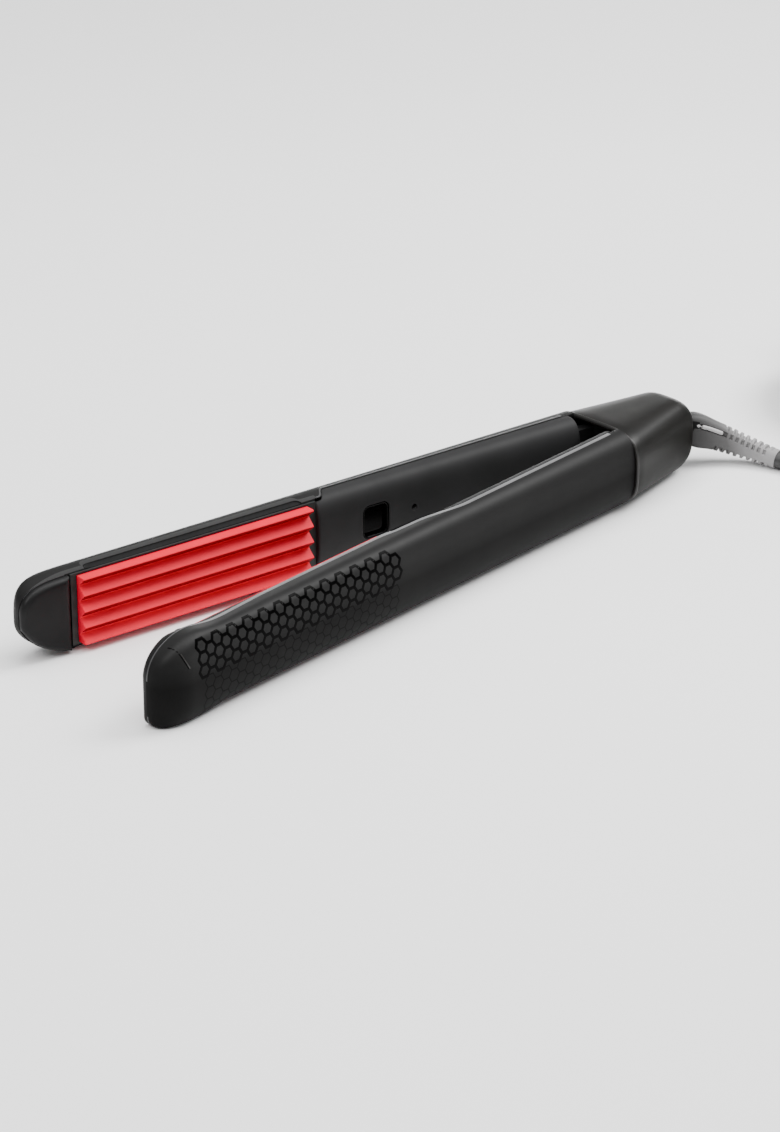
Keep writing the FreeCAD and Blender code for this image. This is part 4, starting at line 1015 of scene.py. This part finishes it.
def square(t, duty, soft):
    """1 on the rib, 0 in the groove, with soft flanks."""
    t = t % 1.0
    lo = min(t, 1 - t) * 2
    return smooth((lo - (1 - duty) + soft) / (2 * soft))


def boot_mesh():
    pts = boot_line(0.16)
    m = 28
    loops = []
    for i, (l, x, y, z, h, w, k) in enumerate(pts):
        side, up = boot_frame(pts, i)
        e = 2.6 + 0.7 * smooth((k - 1) / 3.0) - 1.1 * max(0.0, (k - 5) / 5.0)
        q = quarter(w, h, e, m)
        full = q + [(-a, b) for a, b in reversed(q[:-1])]
        full = full + [(a, -b) for a, b in reversed(full[1:-1])]
        c = Vector((x, y, z))
        loop = []
        for a, b in full:
            r = math.hypot(a / w, b / h)
            drop = 0.0
            # ribs: grooves across the top and the bottom, running a little way down the sides
            if RIB_L0 + (2.0 if b > 0 else 0.0) < l < RIB_END:
                reach = smooth((abs(b) / h - 0.62) / 0.16)
                fade = smooth((RIB_END - l) / 2.0)
                drop = max(drop, (1 - square((l - RIB_L0) / RIB_PITCH, 0.52, 0.16)) * reach * 0.95 * fade)
            # channel along both sides, then a row of square holes
            v = b / h
            band = smooth((CH_HW + 0.12 - abs(b - CH_V * h)) / 0.24)
            if abs(a) > 0.5 * w:
                if 4.0 < l <= HOLE_L0 - 0.6:
                    drop = max(drop, band * CH_D * smooth((HOLE_L0 - 0.6 - l) / 0.4))
                elif HOLE_L0 - 0.6 < l < RIB_END - 2:
                    drop = max(drop, band * 0.9 * smooth((square((l - HOLE_L0) / RIB_PITCH + 0.5, 0.5, 0.14) - 0.0)))
            nx, nz = a / w / max(r, 1e-6), b / h / max(r, 1e-6)
            ln = math.hypot(nx, nz)
            loop.append(row(*(c + side * (a - drop * nx / ln) + up * (b - drop * nz / ln))))
        loops.append(loop)
    return loft(loops)


v, f = boot_mesh()
neck = [[row(x, r * math.cos(a), r * math.sin(a)) for a in [2 * math.pi * i / 40 for i in range(40)]]
        for x, r in ((15.6, 4.8), (15.8, 5.3), (16.9, 5.4), (17.2, 5.1), (17.25, 3.9), (20.7, 3.9))]
v, f = join([(v, f), loft(neck)])
boot = mesh("cord_boot", v, f, M["boot"], "hinge_root", ["strain_relief"], sharp=44)


def boot_bar(sg):
    """Lighter core bar lying in the boot's channel, with a rounded end knob."""
    pts = boot_line(0.3)
    loops = []
    for i, (l, x, y, z, h, w, k) in enumerate(pts):
        if not BAR_L0 - 2.4 <= l <= BAR_L1:
            continue
        side, up = boot_frame(pts, i)
        c = Vector((x, y, z)) + side * (sg * (w - 0.45)) + up * (CH_V * h)
        if l < BAR_L0:
            r = 0.62 * math.sqrt(max(0.02, 1 - ((l - (BAR_L0 - 1.4)) / 0.9) ** 2)) if abs(l - (BAR_L0 - 1.4)) < 0.88 else 0.12
        else:
            r = 0.74 * min(1.0, 0.5 + (l - BAR_L0) / 0.6, 0.5 + (BAR_L1 - l) / 0.6)
        loops.append([row(*(c + side * (r * math.cos(a)) + up * (r * math.sin(a)))) for a in [2 * math.pi * j / 16 for j in range(16)]])
    return loft(loops)


v, f = join([boot_bar(1), boot_bar(-1)])
bars = mesh("boot_core_bars", v, f, M["boot_bar"], "hinge_root")



def boot_recess_painted_shade(sg):
    """Dark patch of painted shade on the boot's flank beside the housing, in front of the core bar, where its hollow
    lies in shade.
    """
    pts = boot_line(0.4)
    loops = []
    for i, (l, x, y, z, h, w, k) in enumerate(pts):
        if not 5.6 <= l <= 11.6:
            continue
        side, up = boot_frame(pts, i)
        e = 2.6 + 0.7 * smooth((k - 1) / 3.0) - 1.1 * max(0.0, (k - 5) / 5.0)
        top = 0.60
        bottom = -0.70 + 0.95 * smooth((l - 9.0) / 1.4)
        out, low = [], []
        for j in range(7):
            b = bottom + (top - bottom) * j / 6
            a = (1 - abs(b) ** e) ** (1 / e) * w
            for lst, d in ((out, 0.03), (low, -0.3)):
                lst.append(row(*(Vector((x, y, z)) + side * (sg * (a + d)) + up * (b * h))))
        loops.append(out + low[::-1])
    return loft(loops)


v, f = join([boot_recess_painted_shade(1), boot_recess_painted_shade(-1)])
recess = mesh("boot_recess_painted_shade", v, f, M["hollow_painted_shade"], "hinge_root")

# ------------------------------------------------------------------ cord
COIL_H = 2 * CORD_R + (LAYERS - 1) * LAYER_H
PLUG_Z = FLOOR + COIL_H + 6.85
LEAD = [
    (47.1, -28.9, -10.86),
    (49.5, -38.4, -11.12),
    (54.5, -48.0, -11.12),
    (62.2, -56.1, -11.12),
    (71.9, -62.0, -11.12),
    (83.0, -65.4, -11.12),
    (94.7, -67.1, -11.12),
    (106.5, -67.9, -11.12),
    (116.7, -67.9, -11.12),
    (126.8, -68.5, -11.12),
]
TAIL = [
    (91.3, -39.7, 8.6),
    (95.7, -49.7, 9.0),
    (102.9, -57.9, 10.58),
    (112.4, -63.3, 12.78),
    (123.2, -65.3, 14.38),
    (134.2, -64.4, 14.88),
    (143.6, -62.8, 15.08),
    (152.2, -58.6, 15.58),
    (159.3, -52.2, 16.38),
    (164.4, -44.1, 17.38),
    (167.0, -34.9, PLUG_Z),
    (167.0, -25.7, PLUG_Z),
]
TIE_DEG, STRAP_T = 185.0, 0.6
COIL_START, COIL_END, SHIFT_END, SHIFT = 262.0, 200.0, 35.0, 110.0


def coil_points():
    """Turns side by side and on each other, from the outside of the lowest layer to the outside of the top one."""
    slots = []
    for layer in range(LAYERS):
        order = range(ACROSS) if layer % 2 == 0 else range(ACROSS - 1, -1, -1)
        for k in order:
            slots.append((COIL_RM + (ACROSS - 1) * CORD_R - k * 2 * CORD_R, FLOOR + CORD_R + layer * LAYER_H))
    sweep = COIL_END + 360.0 * (len(slots) - 1) - COIL_START
    n = round(sweep / 18.0)
    step = sweep / n
    swell = 1 / math.cos(math.radians(step / 2))
    out = []
    for i in range(1, n):
        ang = COIL_START + step * i
        # turn k ends its move to turn k + 1 at SHIFT_END + 360 (k + 1)
        k = math.floor((ang - SHIFT_END) / 360.0)
        k = max(0, min(k, len(slots) - 1))
        f = smooth((ang - (SHIFT_END + 360.0 * (k + 1) - SHIFT)) / SHIFT)
        r0, z0 = slots[k]
        r1, z1 = slots[min(k + 1, len(slots) - 1)]
        r, z = r0 + (r1 - r0) * f, z0 + (z1 - z0) * f
        dt = abs((ang - TIE_DEG + 180) % 360 - 180)
        z += STRAP_T * smooth((34.0 - dt) / 22.0)
        out.append((COIL_X + r * swell * math.cos(math.radians(ang)), COIL_Y + r * swell * math.sin(math.radians(ang)), z))
    return out


cu = bpy.data.curves.new("mains_cord", "CURVE")
cu.dimensions = "3D"
sp = cu.splines.new("NURBS")
route = LEAD + coil_points() + TAIL
sp.points.add(len(route) - 1)
for p, q in zip(sp.points, route):
    r = row(*q)
    p.co = (r.x, r.y, r.z, 1.0)
sp.order_u = 3
sp.use_endpoint_u = True
sp.resolution_u = 6
cu.bevel_depth = CORD_R / 1000
cu.bevel_resolution = 6
cu.use_fill_caps = True
cord = bpy.data.objects.new("mains_cord", cu)
bpy.context.scene.collection.objects.link(cord)
put(cord, M["cord"])
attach(cord, "hinge_root")
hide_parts("cord_lead", "cord_coil", "cord_tail")
total = sum(math.dist(a, b) for a, b in zip(route[:-1], route[1:]))
print("cord route length", round(total, 1))

# ------------------------------------------------------------------ strap round the coil
def strap_mesh():
    ri = COIL_RM - ACROSS * CORD_R - 0.5
    ro = COIL_RM + ACROSS * CORD_R + 0.5
    z0, z1 = FLOOR, FLOOR + 2 * CORD_R + (LAYERS - 1) * LAYER_H + STRAP_T
    t = STRAP_T
    cx, cz = (ri + ro) / 2, (z0 + z1 + t) / 2
    lx, lz = ro - ri, z1 + t - z0
    outer = rounded_rect(cx, cz, lx + 2 * 0.0, lz, 2.2, 8)
    inner = rounded_rect(cx, cz, lx - 2 * t, lz - 2 * t, 2.2 - t, 8)
    ca, sa = math.cos(math.radians(TIE_DEG)), math.sin(math.radians(TIE_DEG))
    hw = 5.4

    def at(r, w, z):
        return row(COIL_X + r * ca - w * sa, COIL_Y + r * sa + w * ca, z)

    rows = []
    for ring, w in ((inner, -hw), (outer, -hw), (outer, -hw + 0.3), (outer, 0.0), (outer, hw - 0.3), (outer, hw), (inner, hw), (inner, 0.0), (inner, -hw)):
        rows.append([at(a, w, b) for a, b in ring])
    parts = [loft(rows, cap0=False, cap1=False)]
    # the loose end, lapped over the outside
    flap = []
    for k in range(15):
        f = k / 14
        zz = z1 + t - 1.6 - 13.0 * f
        flap.append([at(ro + d, w, zz) for d, w in ((0.02, -hw + 0.3), (0.62, -hw + 0.3), (0.62, hw - 0.3), (0.02, hw - 0.3))])
    parts.append(loft(flap))
    return join(parts)


v, f = strap_mesh()
strap = mesh("coil_strap", v, f, M["strap"], "hinge_root", ["coil_tie"])

# ------------------------------------------------------------------ plug
PX, PY = TAIL[-1][0], TAIL[-1][1]


def superloop(cx, y, cz, w, h, e, n=14):
    q = quarter(w, h, e, n)
    full = q + [(-a, b) for a, b in reversed(q[:-1])]
    full = full + [(a, -b) for a, b in reversed(full[1:-1])]
    return [row(cx + a, y, cz + b) for a, b in full]


rows = []
n = 78
for i in range(n + 1):
    y = 13.0 * i / n
    w = 3.55 + (6.2 - 3.55) * (y / 13.0) ** 1.5
    h = 3.5 + (4.9 - 3.5) * (y / 13.0) ** 1.2
    g = 0.0
    if 1.0 < y < 11.4:
        g = 0.55 * (1 - square((y - 1.0) / 2.1, 0.6, 0.18))
    rows.append(superloop(PX, PY + y, PLUG_Z, w - g, h - g, 2.2))
v, f = loft(rows)
plug_boot = mesh("plug_boot", v, f, M["plug"], "hinge_root", ["plug_strain_relief"], sharp=44)

Y0 = PY + 13.0
rows = []
prof = [(0.0, 5.4, 4.6), (0.15, 6.1, 5.3), (0.8, 6.9, 6.2), (2.0, 8.0, 6.7), (5.0, 9.6, 6.83), (10.0, 12.4, 6.84), (16.0, 15.0, 6.84), (21.0, 16.7, 6.84), (25.0, 17.35, 6.84),
        (29.0, 17.6, 6.84), (33.0, 17.62, 6.84), (33.6, 17.5, 6.7), (33.9, 17.2, 6.45), (34.0, 16.8, 6.1)]
for y, w, h in prof:
    rows.append(superloop(PX, Y0 + y, PLUG_Z, w, h, 2.4 + 2.4 * smooth(y / 14.0), 16))
v, f = loft(rows)
# finger grips: three low ribs on the top and bottom faces
parts = [(v, f)]
plug = mesh("plug_shell", v, f, M["plug"], "hinge_root", ["plug_body"], sharp=44)
grips = []
for k, yy in enumerate((12.5, 16.0, 19.5)):
    hw = 6.0 + 0.9 * k
    for sg in (1, -1):
        lp = []
        for x in [-hw + 2 * hw * i / 10 for i in range(11)]:
            t = max(0.05, 1 - (abs(x) / hw) ** 6)
            lp.append([row(PX + x, Y0 + yy + d, PLUG_Z + sg * (6.55 + hh * t * (0.27 / 0.3))) for d, hh in ((-0.7, 0.0), (-0.45, 0.24), (0.0, 0.3), (0.45, 0.24), (0.7, 0.0))])
        grips.append(loft(lp))
v, f = join(grips)
grip = mesh("plug_grips", v, f, M["plug"], "hinge_root", sharp=60)

pins, sleeves = [], []
for sg in (1, -1):
    cx = PX + sg * 9.3
    lp = [[row(cx + r * math.cos(a), Y0 + 34.0 + y, PLUG_Z + r * math.sin(a)) for a in [2 * math.pi * i / 32 for i in range(32)]]
          for y, r in ((-0.3, 1.7), (9.9, 1.7), (9.95, 1.9), (10.2, 2.0), (16.6, 2.0), (17.5, 1.92), (18.3, 1.6), (18.8, 1.1), (19.0, 0.5))]
    pins.append(loft(lp))
    lp = [[row(cx + r * math.cos(a), Y0 + 34.0 + y, PLUG_Z + r * math.sin(a)) for a in [2 * math.pi * i / 32 for i in range(32)]]
          for y, r in ((-0.2, 1.72), (-0.2, 1.95), (9.6, 1.92), (9.85, 1.8), (9.85, 1.72))]
    sleeves.append(loft(lp, cap0=False, cap1=False))
v, f = join(pins)
pinob = mesh("plug_pin_metal", v, f, M["pin"], "hinge_root", ["plug_pins"])
v, f = join(sleeves)
sleeveob = mesh("plug_pin_sleeves", v, f, M["plug"], "hinge_root")


# ------------------------------------------------------------------ raised black lattice on the front arm's back
def back_curve(s, sg):
    h = half_outline(s, 0.0, rim_level(s, -1), -1, sg)
    h = list(reversed(h))
    length = [0.0]
    for a, b in zip(h[:-1], h[1:]):
        length.append(length[-1] + math.dist(a, b))
    return h, length


_curves = {}


def back_point(s, v, lift):
    """Point on the front arm's back at station s, v mm round from its middle line (+ upwards), raised by lift."""
    sg = 1 if v >= 0 else -1
    key = (round(s, 1), sg)
    if key not in _curves:
        _curves[key] = back_curve(*key)
    h, length = _curves[key]
    av = min(abs(v), length[-1] - 0.01)
    j = 0
    while j < len(h) - 2 and length[j + 1] < av:
        j += 1
    f = (av - length[j]) / max(1e-9, length[j + 1] - length[j])
    u = h[j][0] + f * (h[j + 1][0] - h[j][0])
    z = h[j][1] + f * (h[j + 1][1] - h[j][1])
    du, dz = h[j + 1][0] - h[j][0], h[j + 1][1] - h[j][1]
    ln = math.hypot(du, dz)
    nu, nz = dz / ln, -du / ln
    return arm(-1, s, u + nu * lift, sg * (z + nz * lift))


def strip(parts, a, b, width, lift, n=5):
    """A low raised bar from a to b, both (s, v)."""
    ds, dv = b[0] - a[0], b[1] - a[1]
    ln = math.hypot(ds, dv)
    if ln < 1e-6:
        return
    ns, nv = -dv / ln * width / 2, ds / ln * width / 2
    loops = []
    for i in range(n + 1):
        t = i / n
        s, v = a[0] + ds * t, a[1] + dv * t
        loops.append([back_point(s + ns, v + nv, -0.06), back_point(s + ns, v + nv, lift * 0.6), back_point(s + ns * 0.7, v + nv * 0.7, lift),
                      back_point(s - ns * 0.7, v - nv * 0.7, lift), back_point(s - ns, v - nv, lift * 0.6), back_point(s - ns, v - nv, -0.06)])
    parts.append(loft(loops))


def cells(s0, s1, v0, v1, r, width, lift):
    """Plain honeycomb of bars between two stations and two lines along the arm."""
    parts = []
    pitch = math.sqrt(3) * r
    rows = int((v1 - v0) / pitch + 0.51)
    done = set()
    for i in range(int((s1 - s0 - 2 * r) / (1.5 * r)) + 1):
        cs = s0 + r + 1.5 * r * i
        for j in range(rows - i % 2):
            cv = v0 + pitch * (j + 0.5 + (i % 2) / 2)
            for k in range(6):
                a0, a1 = math.radians(60 * k), math.radians(60 * (k + 1))
                p = (cs + r * math.cos(a0), cv + r * math.sin(a0))
                q = (cs + r * math.cos(a1), cv + r * math.sin(a1))
                key = tuple(sorted(((round(p[0], 2), round(p[1], 2)), (round(q[0], 2), round(q[1], 2)))))
                if key in done:
                    continue
                done.add(key)
                # each bar starts and ends half its width past the corner, so that three bars meet there
                ds, dv = (q[0] - p[0]) / r * width * 0.28, (q[1] - p[1]) / r * width * 0.28
                strip(parts, (p[0] - ds, p[1] - dv), (q[0] + ds, q[1] + dv), width, lift, 3)
    return join(parts)


v, f = cells(-7.5, 88.0, 0.6, 12.9, 2.37, 1.05, 0.02)
mesh("front_lattice", v, f, M["pattern"], "front_arm", sharp=60)
v, f = cells(-5.1, 85.6, -19.9, 0.6, 2.37, 0.40, 0.015)
mesh("front_lattice_faint", v, f, M["groove"], "front_arm", sharp=60)

# fine seam between the tip and the back of the front arm, with a painted highlight strip along its edge
seam = []
path = [(-14.4, 15.0), (-14.2, 12.8), (-13.8, 10.6), (-13.2, 8.6), (-12.4, 6.6), (-11.8, 5.4)]
seam_highlight = []
for a, b in zip(path[:-1], path[1:]):
    strip(seam, a, b, 0.34, 0.02, 2)
    strip(seam_highlight, (a[0] + 0.42, a[1] + 0.1), (b[0] + 0.42, b[1] + 0.1), 0.36, 0.06, 2)
v, f = join(seam)
mesh("front_tip_seam", v, f, M["pattern"], "front_arm", sharp=60)
v, f = join(seam_highlight[2:])
mesh("front_tip_seam_painted_highlight", v, f, M["lip"], "front_arm", sharp=60)

# ------------------------------------------------------------------ materials of the CAD nodes that stay
KEEP = {
    "heat_shield": "shield", "plate_carrier": "carrier", "heater": "heater", "heater_clip": "spring", "thermistor": "sensor",
    "hinge_frame": "frame", "frame_screws": "steel", "carrier_screws": "steel", "heater_leads": "lead", "thermal_fuse": "fuse",
    "control_board": "board", "board_components": "component", "tact_switch": "component", "hinge_pin": "steel",
    "thrust_washers": "washer", "opening_spring": "spring", "swivel_retainer": "frame",
}
for n, o in nodes.items():
    key = n[5:] if n.startswith("rear_") else n[6:] if n.startswith("front_") else n
    if key in KEEP:
        put(o, M[KEEP[key]])
    elif not o.hide_render:
        put(o, M["component"])

# ------------------------------------------------------------------ floor and light
fm, nt, b = new_mat("floor_pale")
fn = noise(nt, 3.0, 2.0)
fc = ramp(nt, fn.outputs["Fac"], [(0.3, (0.86, 0.86, 0.86)), (0.7, (0.90, 0.90, 0.90))])
nt.links.new(fc.outputs["Color"], b.inputs["Base Color"])
b.inputs["Roughness"].default_value = 0.9
b.inputs["Specular IOR Level"].default_value = 0.1
fme = bpy.data.meshes.new("floor")
S = 8.0
fme.from_pydata([(-S, -S, 0), (S, -S, 0), (S, S, 0), (-S, S, 0)], [], [(0, 1, 2, 3)])
floor = bpy.data.objects.new("floor", fme)
bpy.context.scene.collection.objects.link(floor)
floor.location.z = -0.0001
put(floor, fm)
floor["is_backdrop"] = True

world = bpy.data.worlds.new("studio")
bpy.context.scene.world = world
world.use_nodes = True
bg = world.node_tree.nodes["Background"]
bg.inputs["Color"].default_value = (1.0, 1.0, 1.0, 1.0)
bg.inputs["Strength"].default_value = 0.55


def area(name, loc, target, size, energy, size_y=None):
    l = bpy.data.lights.new(name, "AREA")
    l.shape = "RECTANGLE"
    l.size = size
    l.size_y = size_y or size
    l.energy = energy
    o = bpy.data.objects.new(name, l)
    bpy.context.scene.collection.objects.link(o)
    o.location = loc
    d = Vector(target) - Vector(loc)
    o.rotation_euler = d.to_track_quat("-Z", "Y").to_euler()
    return o


area("top_soft", (-0.05, 0.12, 1.1), (0.0, 0.0, 0.0), 1.1, 13.0, 0.7)
area("key_right", (0.80, -0.33, 1.0), (0.02, 0.0, 0.0), 0.6, 22.0)
area("back_low", (1.25, 1.15, 0.16), (0.0, 0.0, 0.02), 1.5, 8.0, 0.18)
area("left_high", (-0.95, -0.05, 1.0), (-0.05, 0.0, 0.0), 0.5, 8.5)
area("front_soft", (0.10, -0.72, 1.2), (0.0, 0.0, 0.0), 0.8, 5.5)

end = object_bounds()
